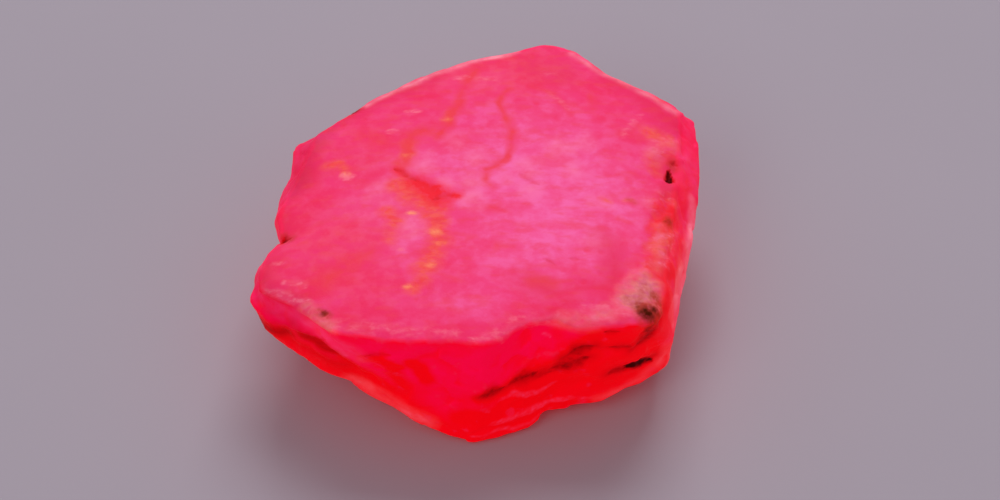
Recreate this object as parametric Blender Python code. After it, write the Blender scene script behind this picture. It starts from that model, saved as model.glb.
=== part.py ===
"""A rough ruby: one thick hexagonal plate of corundum, broken round its edge, which rests on a flat parting face.

The stone is a net of corners joined by flat faces. Four rings of corners go round it, from the edge of the top
face down to the edge of the face that it rests on. The net's own edges are softened, and then a cleft, a step,
cracks, pits, a crust and a coarse roughness are worked into its skin. Sizes and places are in millimetres.
"""

import bpy
import numpy as np

MM = 0.001

# Each corner of the outline, clockwise from the far tip as seen from above: its point on the top face's edge, on
# the girdle and on the keel where the underside starts, and how far towards the keel the resting face reaches
CORNERS = (
    ("far tip", (2.9, 8.95, 5.9), (3.0, 9.1, 4.6), (2.6, 8.3, 1.7), 0.60),
    ("far tip right", (4.1, 8.55, 5.9), (4.3, 8.7, 4.4), (3.8, 7.9, 1.7), 0.60),
    ("right nick", (5.35, 7.35, 5.85), (5.5, 7.4, 4.2), (5.0, 6.8, 1.6), 0.60),
    ("right shoulder", (6.8, 6.4, 5.85), (7.1, 6.7, 4.6), (6.4, 6.0, 1.5), 0.60),
    ("far right corner", (8.3, 5.1, 5.7), (9.0, 5.4, 4.9), (7.8, 4.6, 1.6), 0.60),
    ("right edge far", (8.3, 3.6, 5.7), (9.1, 3.9, 4.7), (8.0, 3.0, 1.7), 0.60),
    ("right edge middle", (8.0, 0.4, 5.75), (8.9, 1.2, 4.4), (8.1, 0.4, 1.7), 0.62),
    ("right edge near", (7.7, -2.5, 5.75), (8.55, -1.0, 4.0), (7.9, -1.6, 1.6), 0.64),
    ("near right shoulder", (7.4, -4.9, 5.65), (8.15, -3.0, 3.3), (7.8, -3.4, 1.6), 0.66),
    ("near right corner", (7.0, -6.7, 5.6), (7.8, -5.2, 3.0), (7.5, -5.0, 1.5), 0.68),
    ("step, right end", (5.9, -7.05, 5.85), (6.1, -6.7, 3.7), (6.5, -5.6, 1.25), 0.74),
    ("step, right part", (4.9, -7.2, 5.9), (4.9, -7.1, 4.2), (5.0, -6.5, 0.8), 0.80),
    ("step, middle", (4.0, -7.35, 5.9), (4.1, -7.2, 4.3), (3.9, -6.6, 0.65), 0.84),
    ("rim scoop, right", (3.2, -6.9, 6.0), (3.3, -7.2, 3.9), (2.9, -6.7, 0.5), 0.86),
    ("rim scoop, left", (2.1, -7.1, 6.0), (2.0, -7.3, 3.4), (2.1, -7.2, 0.35), 0.88),
    ("near corner, right", (1.1, -7.8, 6.0), (1.0, -7.7, 3.3), (1.1, -7.6, 0.35), 0.90),
    ("near corner", (0.4, -8.2, 6.0), (0.3, -8.05, 3.1), (0.1, -7.75, 0.35), 0.90),
    ("near corner, left", (-0.7, -7.95, 6.0), (-0.7, -7.8, 3.4), (-1.0, -7.75, 0.4), 0.88),
    ("left side, near part", (-2.0, -7.95, 5.9), (-2.2, -7.6, 3.9), (-2.2, -7.3, 0.7), 0.82),
    ("left side, middle", (-3.4, -7.8, 5.85), (-3.4, -7.5, 4.0), (-3.5, -6.6, 1.05), 0.78),
    ("left side, far part", (-4.8, -7.5, 5.8), (-4.7, -7.3, 4.5), (-4.5, -6.0, 1.45), 0.72),
    ("lobe, near part", (-5.7, -7.1, 5.7), (-5.7, -7.1, 5.0), (-5.6, -5.9, 1.9), 0.66),
    ("lobe, middle", (-6.6, -6.0, 5.6), (-6.7, -6.4, 4.6), (-6.8, -5.6, 2.5), 0.58),
    ("lobe, far part", (-7.5, -5.4, 5.5), (-7.9, -5.4, 4.2), (-7.8, -5.0, 3.0), 0.52),
    ("left tip", (-8.4, -4.7, 5.35), (-8.7, -4.4, 4.5), (-8.5, -4.4, 3.2), 0.50),
    ("left tip, back", (-8.2, -3.1, 5.4), (-8.5, -2.9, 4.3), (-7.8, -2.7, 2.9), 0.52),
    ("left nick", (-7.55, -2.0, 5.4), (-7.6, -1.6, 4.1), (-7.0, -1.3, 2.5), 0.56),
    ("left edge near", (-7.75, -0.5, 5.45), (-7.95, 0.1, 4.4), (-7.3, 0.5, 2.3), 0.58),
    ("left edge far", (-7.2, 1.0, 5.5), (-7.6, 1.6, 4.8), (-7.0, 1.8, 2.1), 0.60),
    ("far left corner", (-6.5, 3.4, 5.7), (-7.3, 3.75, 5.0), (-6.5, 3.6, 2.0), 0.60),
    ("far left shoulder", (-5.5, 4.65, 5.7), (-6.0, 4.95, 4.7), (-5.4, 4.4, 1.9), 0.60),
    ("far edge, left part", (-3.9, 6.05, 5.75), (-4.1, 6.35, 4.3), (-3.8, 5.7, 1.8), 0.60),
    ("far edge, middle", (-1.8, 7.4, 5.8), (-1.8, 7.7, 4.1), (-1.7, 6.9, 1.8), 0.60),
    ("far edge, right part", (0.2, 8.4, 5.8), (0.2, 8.65, 4.3), (0.1, 7.6, 1.8), 0.60),
    ("far tip left", (1.6, 8.65, 5.85), (1.6, 8.8, 4.6), (1.4, 8.0, 1.8), 0.60),
)

# The middle of the top face in plan and its height, how flat the top stays before it falls to its edge, and the
# middle of the whole outline, which becomes the origin
CENTRE = (0.3, 0.0)
TOP_HEIGHT = 6.3
TOP_FLATNESS = 4
OUTLINE_MIDDLE = (0.16, 0.47)

# How far each edge of the net is rounded, in millimetres along it and as a share of the way from ring to ring
EDGE_SOFTNESS = 0.4
LEVEL_SOFTNESS = 0.18

# The cleft in the top face and the lip beside it, in plan
CLEFT = ((-3.0, 1.0), (-2.5, 0.35), (-2.1, -0.05), (-1.7, -0.1), (-1.2, -0.45), (-0.8, -0.5))
CLEFT_WIDTH, CLEFT_DEPTH = 0.7, 0.5
LIP = ((-1.4, -0.85), (-0.8, -0.5))
LIP_WIDTH, LIP_HEIGHT = 0.6, 0.12

# What is left of a crust near the right corner, and the crumbled right edge, in plan
CRUST = ((6.7, -4.9), (6.3, -5.7), (5.2, -6.3), (3.8, -6.5))
CRUST_WIDTH, CRUST_HEIGHT = 1.1, 0.12
CRUMBLED_EDGE = ((8.1, 3.6), (7.7, 1.0), (7.55, -1.3), (7.3, -3.7), (6.9, -6.2))
CRUMBLED_WIDTH, CRUMB_SIZE, CRUMB_HEIGHT, CRUMB_SEED = 1.0, 0.6, 0.14, 71

# Pits in the top face: place in plan, radius and depth
PITS = (
    ("right edge", (7.65, 1.2), 0.45, 0.4),
    ("left nick", (-7.45, -2.0), 0.6, 0.35),
    ("crust grains", (6.85, -6.25), 0.5, 0.25),
)

# Cracks and hollows of the near side: places across and up it, then width and depth
STEP_LINE = ((0.3, 3.0), (1.0, 3.05), (2.4, 3.3), (3.3, 3.75), (4.3, 4.3))
NEAR_GROOVES = (
    ("step", STEP_LINE, 0.6, 0.22),
    ("right crack", ((5.3, 3.0), (6.1, 3.35), (6.7, 3.3)), 0.5, 0.42),
    ("crease under the crust", ((7.0, 5.5), (6.5, 4.5), (5.8, 4.35)), 0.5, 0.2),
    ("lobe crease", ((-8.4, 4.1), (-7.8, 4.2), (-6.7, 4.5), (-5.7, 4.6), (-4.8, 3.8), (-3.6, 2.9)), 0.5, 0.16),
    ("side hollow", ((-4.4, 4.5), (-3.6, 4.7)), 0.6, 0.14),
)
NEAR_SIDE_FROM, NEAR_SIDE_FULL = 3.0, 4.5

# Below the step's line the skin stands out by the rise, which fades downwards, towards both ends and at the keel
STEP_RISE, STEP_EDGE, STEP_FADE = 0.18, 0.25, (0.5, 2.4)
STEP_LEFT_END, STEP_RIGHT_END, STEP_FOOT = (-0.4, 0.8), (4.2, 6.4), (0.2, 1.6)

# Roughness of the skin: the size of its forms, how far they stand out and the seed that they are drawn from
SWELL_SIZE, SWELL_HEIGHT, SWELL_SEED = 4.2, 0.1, 11
LUMP_SIZE, LUMP_HEIGHT, LUMP_SEED = 1.5, 0.06, 23
FACET_SIZE, FACET_HEIGHT, FACET_SEED, FACET_CRISPNESS = 2.8, 0.22, 37, 14
TERRACE_SPACING, TERRACE_HEIGHT, TERRACE_SEED, TERRACE_WANDER = 1.3, 0.05, 53, 0.5
TOP_ROUGHNESS = 0.4

# Places down the stone, counted in rings: 0 is the top's middle, 1 its edge, 2 the girdle, 3 the keel, 4 the foot
SIDE_STARTS = (0.85, 1.25)
NEAR_RELIEF_STARTS = (1.0, 1.2)
TOP_RELIEF_ENDS = (1.1, 1.5)
NEAR_RELIEF_ENDS = (3.0, 3.4)
RELIEF_ENDS = (3.4, 3.9)
BASE_MIDDLE = 5.0

# The grid that is laid over the net
TOP_CELLS = 34
SIDE_ROWS = (8, 8, 8)
BASE_ROWS = 3

RUBY_PINK = (0.88, 0.045, 0.12, 1.0)
RUBY_ROUGHNESS = 0.42
CREASE_ANGLE = np.radians(40)


def net_rings():
    """The rings of the net as an array of corners: top middle, top edge, girdle, keel, foot and base middle."""
    edge, girdle, keel = (np.array([corner[place] for corner in CORNERS]) for place in (1, 2, 3))
    reach = np.array([corner[4] for corner in CORNERS])[:, None]
    foot = np.zeros_like(keel)
    foot[:, :2] = CENTRE + reach * (keel[:, :2] - CENTRE)
    top = np.tile((*CENTRE, TOP_HEIGHT), (len(CORNERS), 1))
    base = np.tile((*CENTRE, 0.0), (len(CORNERS), 1))
    return np.stack([top, edge, girdle, keel, foot, base])


def corner_places():
    """Where each corner is along the girdle, from 0 at the first one to 1 back at it, and the girdle's length."""
    girdle = net_rings()[2]
    steps = np.linalg.norm(np.roll(girdle, -1, axis=0) - girdle, axis=1)
    return np.concatenate([[0.0], np.cumsum(steps)]) / steps.sum(), steps.sum()


def on_net(around, down):
    """Points of the net: straight from corner to corner round a ring, and straight down from ring to ring.

    Only the top face is curved: its height falls from the middle by a power of the way out, so it stays flat
    over most of its width.
    """
    rings, (places, _) = net_rings(), corner_places()
    around = np.mod(around, 1.0)
    corner = np.clip(np.searchsorted(places, around, side="right") - 1, 0, len(CORNERS) - 1)
    after = (corner + 1) % len(CORNERS)
    along = ((around - places[corner]) / (places[corner + 1] - places[corner]))[:, None]
    ring = np.clip(down.astype(int), 0, len(rings) - 2)
    upper = rings[ring, corner] * (1 - along) + rings[ring, after] * along
    lower = rings[ring + 1, corner] * (1 - along) + rings[ring + 1, after] * along
    part = (down - ring)[:, None]
    fall = np.where(ring[:, None] == 0, part ** TOP_FLATNESS, part)
    plan = upper[:, :2] * (1 - part) + lower[:, :2] * part
    height = upper[:, 2:] * (1 - fall) + lower[:, 2:] * fall
    return np.concatenate([plan, height], axis=1)


def soft_net(around, down):
    """The net with its edges rounded: each point is the weighted mean of the net over a small window round it."""
    weights = (1, 4, 6, 4, 1)
    _, length = corner_places()
    shrink = np.clip(2 * np.minimum(down, BASE_MIDDLE - down), 0.0, 1.0)
    points = np.zeros((len(around), 3))
    for i, weight_i in enumerate(weights):
        for j, weight_j in enumerate(weights):
            sideways = (i / 2 - 1) * EDGE_SOFTNESS / length
            downwards = (j / 2 - 1) * LEVEL_SOFTNESS * shrink
            points += weight_i * weight_j * on_net(around + sideways, down + downwards)
    return points / sum(weights) ** 2


def top_square(cells):
    """A square of cells for the top face: each vertex's place around and down the stone, the cells, and the edge.

    Down is 0 in the middle and 1 on the square's edge. Around is how far along that edge the vertex lies. Each
    cell is split so that no triangle has two sides along the edge.
    """
    line = np.linspace(-1, 1, cells + 1)
    a, b = np.meshgrid(line, line, indexing="ij")
    down = np.maximum(np.abs(a), np.abs(b))
    s, t = a / np.maximum(down, 1e-9), b / np.maximum(down, 1e-9)
    on_edge = 1 - 1e-6
    choices = [(s + 1) / 8, (3 - t) / 8, (5 - s) / 8]
    around = np.select([t >= on_edge, s >= on_edge, t <= -on_edge], choices, (7 + t) / 8)
    index = np.arange((cells + 1) ** 2).reshape(cells + 1, cells + 1)
    quads = np.stack([index[:-1, :-1], index[1:, :-1], index[1:, 1:], index[:-1, 1:]], axis=-1)
    middle = line[:-1] + line[1:]
    rising = np.multiply.outer(middle, middle)[..., None] > 0
    quads = np.where(rising, quads, np.roll(quads, 1, axis=-1)).reshape(-1, 4)
    edge = np.concatenate([index[:-1, -1], index[-1, :0:-1], index[:0:-1, 0], index[0, :-1]])
    return around.reshape(-1), down.reshape(-1), quads, edge


def stone_grid(cells, side_rows, base_rows):
    """A closed grid: the top's square, rows down the side, and rings in to one vertex in the middle of the base.

    It gives each vertex's place around the stone, from 0 to 1, and down it, and the triangles. Vertices are moved
    a little along their ring so that each corner of the net has one.
    """
    around, down, quads, upper = top_square(cells)
    count = 4 * cells
    bands = [ring + np.arange(1, rows + 1) / rows for ring, rows in enumerate((*side_rows, base_rows), 1)]
    levels = np.concatenate(bands)[:-1]
    all_quads, total = [quads], len(around)
    for _ in levels:
        lower = total + np.arange(count)
        all_quads.append(np.stack([upper, np.roll(upper, -1), np.roll(lower, -1), lower], axis=-1))
        upper, total = lower, total + count
    fan = np.stack([upper, np.roll(upper, -1), np.full(count, total)], axis=-1)
    around = np.concatenate([around, np.tile(np.arange(count) / count, len(levels)), [0.0]])
    down = np.concatenate([down, np.repeat(levels, count), [BASE_MIDDLE]])
    places, _ = corner_places()
    around = np.interp(around * count, np.round(places * count), places)
    quads = np.concatenate(all_quads)
    return around, down, np.concatenate([quads[:, [0, 1, 2]], quads[:, [0, 2, 3]], fan])


def ease(limits, values):
    """0 below the first limit, 1 above the second and a smooth rise between them."""
    part = np.clip((values - limits[0]) / (limits[1] - limits[0]), 0.0, 1.0)
    return part * part * (3 - 2 * part)


def scatter(nodes, seed):
    """One fixed number from -1 to 1 for each lattice node, mixed from its whole coordinates and the seed."""
    mixed = (nodes * (73856093, 19349663, 83492791)).sum(-1) + seed * 2654435761
    for shift, factor in ((15, 2246822519), (13, 3266489917), (16, 668265263)):
        mixed = (mixed ^ (mixed >> shift)) * factor & 0xFFFFFFFF
    return (mixed & 0xFFFF) / 32767.5 - 1.0


def smooth_noise(points, size, seed):
    """Noise from -1 to 1: a fixed number at each node of a cubic lattice, eased from each node to the next."""
    cell = np.floor(points / size).astype(np.int64)
    part = ease((0.0, 1.0), points / size - cell)
    total = np.zeros(len(points))
    for corner in np.ndindex(2, 2, 2):
        total += scatter(cell + corner, seed) * np.where(corner, part, 1 - part).prod(-1)
    return total


def broken_facets(points, size, seed):
    """Tilted facets: each scattered centre has a plane of its own, and the planes blend where two centres meet."""
    cell = np.floor(points / size).astype(np.int64)
    height, total = np.zeros(len(points)), np.zeros(len(points))
    for offset in np.ndindex(3, 3, 3):
        node = cell + np.array(offset) - 1
        jitter = np.stack([scatter(node, seed + axis) for axis in range(3)], axis=-1)
        slope = np.stack([scatter(node, seed + 3 + axis) for axis in range(3)], axis=-1)
        away = points / size - (node + 0.5 + 0.45 * jitter)
        weight = np.exp(-FACET_CRISPNESS * (away ** 2).sum(-1))
        height += weight * (slope * away).sum(-1)
        total += weight
    return height / total


def nearness(places, path, width):
    """1 on a path of straight pieces in the plane, falling evenly to 0 at a width to either side of it."""
    nearest = np.full(len(places), np.inf)
    for start, end in zip(np.array(path[:-1]), np.array(path[1:])):
        run = end - start
        share = np.clip((places - start) @ run / (run @ run), 0.0, 1.0)[:, None]
        nearest = np.minimum(nearest, np.linalg.norm(places - start - share * run, axis=1))
    return np.clip(1 - nearest / width, 0.0, 1.0)


def near_side_relief(points):
    """The grooves of the near side, and the step, below whose line the skin stands out further than above it."""
    across, up = points[:, 0], points[:, 2]
    relief = np.zeros(len(points))
    for _, path, width, depth in NEAR_GROOVES:
        relief -= depth * nearness(points[:, [0, 2]], path, width) ** 1.5
    below = np.interp(across, *np.array(STEP_LINE).T) - up
    reach = ease(STEP_LEFT_END, across) * (1 - ease(STEP_RIGHT_END, across)) * ease(STEP_FOOT, up)
    relief += STEP_RISE * ease((0.0, STEP_EDGE), below) * (1 - ease(STEP_FADE, below)) * reach
    return relief * ease((NEAR_SIDE_FROM, NEAR_SIDE_FULL), -points[:, 1])


def top_relief(points):
    """The cleft and its lip, the crust, the crumbled edge and the pits, by their places in plan."""
    plan = points[:, :2]
    relief = -CLEFT_DEPTH * nearness(plan, CLEFT, CLEFT_WIDTH) ** 1.5
    relief += LIP_HEIGHT * nearness(plan, LIP, LIP_WIDTH)
    relief += CRUST_HEIGHT * ease((0.0, 0.5), nearness(plan, CRUST, CRUST_WIDTH))
    crumbs = smooth_noise(points, CRUMB_SIZE, CRUMB_SEED)
    relief += CRUMB_HEIGHT * crumbs * ease((0.0, 0.6), nearness(plan, CRUMBLED_EDGE, CRUMBLED_WIDTH))
    for _, place, radius, depth in PITS:
        relief -= depth * ease((0.0, 1.0), 1 - np.linalg.norm(plan - place, axis=1) / radius)
    return relief


def skin_relief(points, down):
    """How far the skin stands out from the soft net: swells, lumps, facets, terraces and then the known features."""
    side = ease(SIDE_STARTS, down)
    roughness = TOP_ROUGHNESS + (1 - TOP_ROUGHNESS) * side
    relief = SWELL_HEIGHT * smooth_noise(points, SWELL_SIZE, SWELL_SEED) * roughness
    relief += LUMP_HEIGHT * smooth_noise(points, LUMP_SIZE, LUMP_SEED) * roughness
    relief += FACET_HEIGHT * broken_facets(points, FACET_SIZE, FACET_SEED) * side
    wander = TERRACE_WANDER * smooth_noise(points, SWELL_SIZE, TERRACE_SEED)
    layer = points[:, 2] / TERRACE_SPACING + wander
    relief += TERRACE_HEIGHT * (4 * np.abs(layer - np.floor(layer) - 0.5) - 1) * side
    relief += near_side_relief(points) * ease(NEAR_RELIEF_STARTS, down) * (1 - ease(NEAR_RELIEF_ENDS, down))
    relief += top_relief(points) * (1 - ease(TOP_RELIEF_ENDS, down))
    return relief * (1 - ease(RELIEF_ENDS, down))


def outward(points, faces):
    """Each vertex's outward direction: the mean of its faces' normals, larger faces counting more."""
    corners = points[faces]
    across = np.cross(corners[:, 1] - corners[:, 0], corners[:, 2] - corners[:, 0])
    normals = np.zeros_like(points)
    for column in range(3):
        np.add.at(normals, faces[:, column], across)
    return normals / np.linalg.norm(normals, axis=1)[:, None]


def ruby_material():
    """Rough ruby: a strong pink red with a frosted skin that catches little gloss."""
    material = bpy.data.materials.new("rough ruby")
    material.use_nodes = True
    surface = material.node_tree.nodes["Principled BSDF"]
    surface.inputs["Base Color"].default_value = RUBY_PINK
    surface.inputs["Roughness"].default_value = RUBY_ROUGHNESS
    surface.inputs["Metallic"].default_value = 0.0
    material.diffuse_color = RUBY_PINK
    return material


def ruby_crystal():
    """The one stone: the soft net with its relief, flat on its resting face, as an object with its own material."""
    around, down, faces = stone_grid(TOP_CELLS, SIDE_ROWS, BASE_ROWS)
    points = soft_net(around, down)
    points += outward(points, faces) * skin_relief(points, down)[:, None]
    points[:, 2] = np.maximum(points[:, 2], 0.0)
    points[:, :2] -= OUTLINE_MIDDLE
    mesh = bpy.data.meshes.new("ruby_crystal")
    mesh.from_pydata((points * MM).tolist(), [], faces.tolist())
    mesh.shade_smooth()
    mesh.set_sharp_from_angle(angle=CREASE_ANGLE)
    mesh.materials.append(ruby_material())
    stone = bpy.data.objects.new("ruby_crystal", mesh)
    bpy.context.scene.collection.objects.link(stone)
    return stone


def main():
    for old in list(bpy.data.objects):
        bpy.data.objects.remove(old, do_unlink=True)
    ruby_crystal()


main()
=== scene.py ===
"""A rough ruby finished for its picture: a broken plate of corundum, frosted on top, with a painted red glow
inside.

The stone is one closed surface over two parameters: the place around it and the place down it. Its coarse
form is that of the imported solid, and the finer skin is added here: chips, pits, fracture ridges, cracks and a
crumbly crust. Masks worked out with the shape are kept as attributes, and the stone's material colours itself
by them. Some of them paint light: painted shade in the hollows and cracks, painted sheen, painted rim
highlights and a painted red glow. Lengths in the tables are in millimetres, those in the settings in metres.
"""

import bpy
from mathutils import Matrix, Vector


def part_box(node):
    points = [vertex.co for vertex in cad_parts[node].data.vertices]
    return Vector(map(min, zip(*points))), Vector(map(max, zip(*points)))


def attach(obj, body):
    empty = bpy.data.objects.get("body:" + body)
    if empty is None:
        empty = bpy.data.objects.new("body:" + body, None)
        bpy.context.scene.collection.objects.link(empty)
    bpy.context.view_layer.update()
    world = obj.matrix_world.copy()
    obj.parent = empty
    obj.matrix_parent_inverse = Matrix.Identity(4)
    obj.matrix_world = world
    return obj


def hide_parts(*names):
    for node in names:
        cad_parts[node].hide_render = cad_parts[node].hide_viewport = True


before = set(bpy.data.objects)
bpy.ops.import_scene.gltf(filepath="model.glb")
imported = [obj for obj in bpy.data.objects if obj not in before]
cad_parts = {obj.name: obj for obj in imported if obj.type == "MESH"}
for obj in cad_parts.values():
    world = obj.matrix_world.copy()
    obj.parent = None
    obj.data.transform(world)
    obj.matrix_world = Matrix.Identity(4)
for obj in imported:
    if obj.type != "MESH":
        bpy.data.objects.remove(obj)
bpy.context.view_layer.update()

from types import SimpleNamespace

import bpy
import numpy as np
from bpy.props import FloatProperty, FloatVectorProperty, IntProperty, PointerProperty
from mathutils import Vector

bl_info = {
    "name": "Rough Ruby",
    "version": (1, 0, 0),
    "blender": (4, 5, 0),
    "location": "3D View > Sidebar > Rough Ruby",
    "description": "Builds a rough ruby with its frosted, glowing skin, and a plain studio round it",
    "category": "Object",
}

NODE = "ruby_crystal"
MM = 0.001
STONE_LOW, STONE_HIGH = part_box(NODE)

# Each corner of the outline, clockwise from the far tip as seen from above: its point on the top face's edge,
# on the girdle and on the keel where the underside starts, and how far towards the keel the base reaches
CORNERS = (
    ("far tip", (2.9, 8.95, 5.9), (3.0, 9.1, 4.6), (2.6, 8.3, 1.7), 0.60),
    ("far tip right", (4.1, 8.55, 5.9), (4.3, 8.7, 4.4), (3.8, 7.9, 1.7), 0.60),
    ("right nick", (5.35, 7.35, 5.85), (5.5, 7.4, 4.2), (5.0, 6.8, 1.6), 0.60),
    ("right shoulder", (6.8, 6.4, 5.85), (7.1, 6.7, 4.6), (6.4, 6.0, 1.5), 0.60),
    ("far right corner", (8.3, 5.1, 5.7), (9.0, 5.4, 4.9), (7.8, 4.6, 1.6), 0.60),
    ("right edge far", (8.3, 3.6, 5.7), (9.1, 3.9, 4.7), (8.0, 3.0, 1.7), 0.60),
    ("right edge middle", (8.0, 0.4, 5.75), (8.9, 1.2, 4.4), (8.1, 0.4, 1.7), 0.62),
    ("right edge near", (7.7, -2.5, 5.75), (8.55, -1.0, 4.0), (7.9, -1.6, 1.6), 0.64),
    ("near right shoulder", (7.4, -4.9, 5.65), (8.15, -3.0, 3.3), (7.8, -3.4, 1.6), 0.66),
    ("near right corner", (7.0, -6.7, 5.6), (7.8, -5.2, 3.0), (7.5, -5.0, 1.5), 0.68),
    ("step, right end", (5.9, -7.05, 5.85), (6.1, -6.7, 3.7), (6.5, -5.7, 1.2), 0.74),
    ("step, right part", (4.9, -7.2, 5.9), (4.9, -7.1, 4.2), (5.0, -6.35, 0.9), 0.80),
    ("step, middle", (4.0, -7.35, 5.9), (4.1, -7.2, 4.3), (3.9, -6.4, 0.75), 0.84),
    ("rim scoop, right", (3.2, -6.9, 6.0), (3.3, -7.2, 3.9), (2.9, -6.5, 0.6), 0.86),
    ("rim scoop, left", (2.1, -7.1, 6.0), (2.0, -7.3, 3.4), (2.1, -7.2, 0.35), 0.88),
    ("near corner, right", (1.1, -7.8, 6.0), (1.0, -7.7, 3.3), (1.1, -7.6, 0.35), 0.90),
    ("near corner", (0.4, -8.2, 6.0), (0.3, -8.05, 3.1), (0.1, -7.75, 0.35), 0.90),
    ("near corner, left", (-0.7, -7.95, 6.0), (-0.7, -7.8, 3.4), (-1.0, -7.75, 0.4), 0.88),
    ("left side, near part", (-2.0, -7.95, 5.9), (-2.2, -7.6, 3.9), (-2.2, -7.3, 0.7), 0.82),
    ("left side, middle", (-3.4, -7.8, 5.85), (-3.4, -7.5, 4.0), (-3.5, -6.6, 1.05), 0.78),
    ("left side, far part", (-4.8, -7.5, 5.8), (-4.7, -7.3, 4.5), (-4.5, -6.0, 1.45), 0.72),
    ("lobe, near part", (-5.7, -7.1, 5.7), (-5.7, -7.1, 5.0), (-5.6, -5.9, 1.9), 0.66),
    ("lobe, middle", (-6.6, -6.0, 5.6), (-6.7, -6.4, 4.6), (-6.8, -5.6, 2.5), 0.58),
    ("lobe, far part", (-7.5, -5.4, 5.5), (-7.9, -5.4, 4.2), (-7.8, -5.0, 3.0), 0.52),
    ("left tip", (-8.4, -4.7, 5.35), (-8.7, -4.4, 4.5), (-8.3, -4.4, 3.3), 0.50),
    ("left tip, back", (-8.2, -3.1, 5.4), (-8.5, -2.9, 4.3), (-7.8, -2.7, 2.9), 0.52),
    ("left nick", (-7.55, -2.0, 5.4), (-7.6, -1.6, 4.1), (-7.0, -1.3, 2.5), 0.56),
    ("left edge near", (-7.75, -0.5, 5.45), (-7.95, 0.1, 4.4), (-7.3, 0.5, 2.3), 0.58),
    ("left edge far", (-7.2, 1.0, 5.5), (-7.6, 1.6, 4.8), (-7.0, 1.8, 2.1), 0.60),
    ("far left corner", (-6.5, 3.4, 5.7), (-7.3, 3.75, 5.0), (-6.5, 3.6, 2.0), 0.60),
    ("far left shoulder", (-5.5, 4.65, 5.7), (-6.0, 4.95, 4.7), (-5.4, 4.4, 1.9), 0.60),
    ("far edge, left part", (-3.9, 6.05, 5.75), (-4.1, 6.35, 4.3), (-3.8, 5.7, 1.8), 0.60),
    ("far edge, middle", (-1.8, 7.4, 5.8), (-1.8, 7.7, 4.1), (-1.7, 6.9, 1.8), 0.60),
    ("far edge, right part", (0.2, 8.4, 5.8), (0.2, 8.65, 4.3), (0.1, 7.6, 1.8), 0.60),
    ("far tip left", (1.6, 8.65, 5.85), (1.6, 8.8, 4.6), (1.4, 8.0, 1.8), 0.60),
)

# The middle of the top face in plan and its height, how flat the top stays before it falls to its edge, and
# the middle of the whole outline, which is the origin
CENTRE = (0.3, 0.0)
TOP_HEIGHT = 6.3
TOP_FLATNESS = 4
OUTLINE_MIDDLE = (0.16, 0.47)

# How far each edge of the net is rounded, in millimetres along it and as a share of the way from ring to ring
EDGE_SOFTNESS = 0.3
LEVEL_SOFTNESS = 0.09

# Where the crust and the crumbled right edge stand out, in plan, and how they rise from their paths' edges
CRUST = ((6.7, -4.9), (6.3, -5.7), (5.2, -6.3), (3.8, -6.5))
CRUST_WIDTH, CRUST_HEIGHT, CRUST_RISE = 1.1, 0.08, (0.0, 0.5)
CRUMBLED_EDGE = ((8.1, 3.6), (7.7, 1.0), (7.55, -1.3), (7.3, -3.7), (6.9, -6.2))
CRUMBLED_WIDTH, CRUMB_SIZE, CRUMB_HEIGHT, CRUMB_SEED = 1.0, 0.6, 0.12, 71
CRUMB_RISE = (0.0, 0.6)

# Ledges of the near side, each broken back below its line: places across and up it, how far down the break
# reaches, and its depth
NEAR_SIDE_FROM, NEAR_SIDE_FULL = 3.0, 4.5
LEDGE_LIP, LEDGE_ENDS = 0.24, 0.9
LEDGES = (
    ("lobe", ((-8.1, 4.2), (-7.5, 4.5), (-6.7, 4.75), (-5.9, 4.7), (-5.4, 4.4), (-5.0, 3.95), (-4.4, 3.2),
              (-3.3, 2.6)), 1.5, 0.14),
    ("scoop", ((-4.8, 4.2), (-4.2, 4.6), (-3.7, 4.9), (-3.2, 4.9), (-2.6, 4.2)), 0.8, 0.05),
    ("left hollow", ((-2.9, 3.9), (-2.1, 4.3), (-1.3, 4.1)), 1.0, 0.03),
    ("step", ((0.1, 3.05), (1.2, 3.15), (1.8, 3.35), (2.4, 3.6), (3.0, 4.0), (3.6, 4.5), (4.2, 5.0),
              (4.7, 4.9), (5.2, 4.2)), 1.7, 0.1),
    ("low hollow", ((-0.7, 1.9), (-0.1, 2.2), (0.8, 2.2), (1.3, 1.9)), 0.9, 0.06),
    ("low furrow", ((0.9, 2.0), (1.7, 2.2), (2.9, 1.95)), 0.6, 0.05),
    ("lowest furrow", ((0.9, 1.0), (1.8, 1.1), (2.8, 0.95)), 0.5, 0.04),
    ("right crack", ((4.6, 3.6), (5.5, 3.5), (6.1, 3.4), (6.7, 3.2), (7.4, 2.9)), 1.5, 0.08),
    ("under the crust", ((4.6, 4.9), (5.4, 4.7), (6.1, 4.4), (6.7, 4.6), (7.2, 5.0)), 0.9, 0.07),
)

# The near side's glow band, where the painted glow is full and the skin is deep red, not frosted: a path in
# plan, its width and its soft edge
GLOW_BAND = ((-8.4, -5.6), (-5.6, -7.6), (0.0, -8.4), (5.0, -7.6), (7.1, -6.2))
GLOW_BAND_WIDTH, GLOW_BAND_EDGE = 2.4, (0.05, 0.4)
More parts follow.
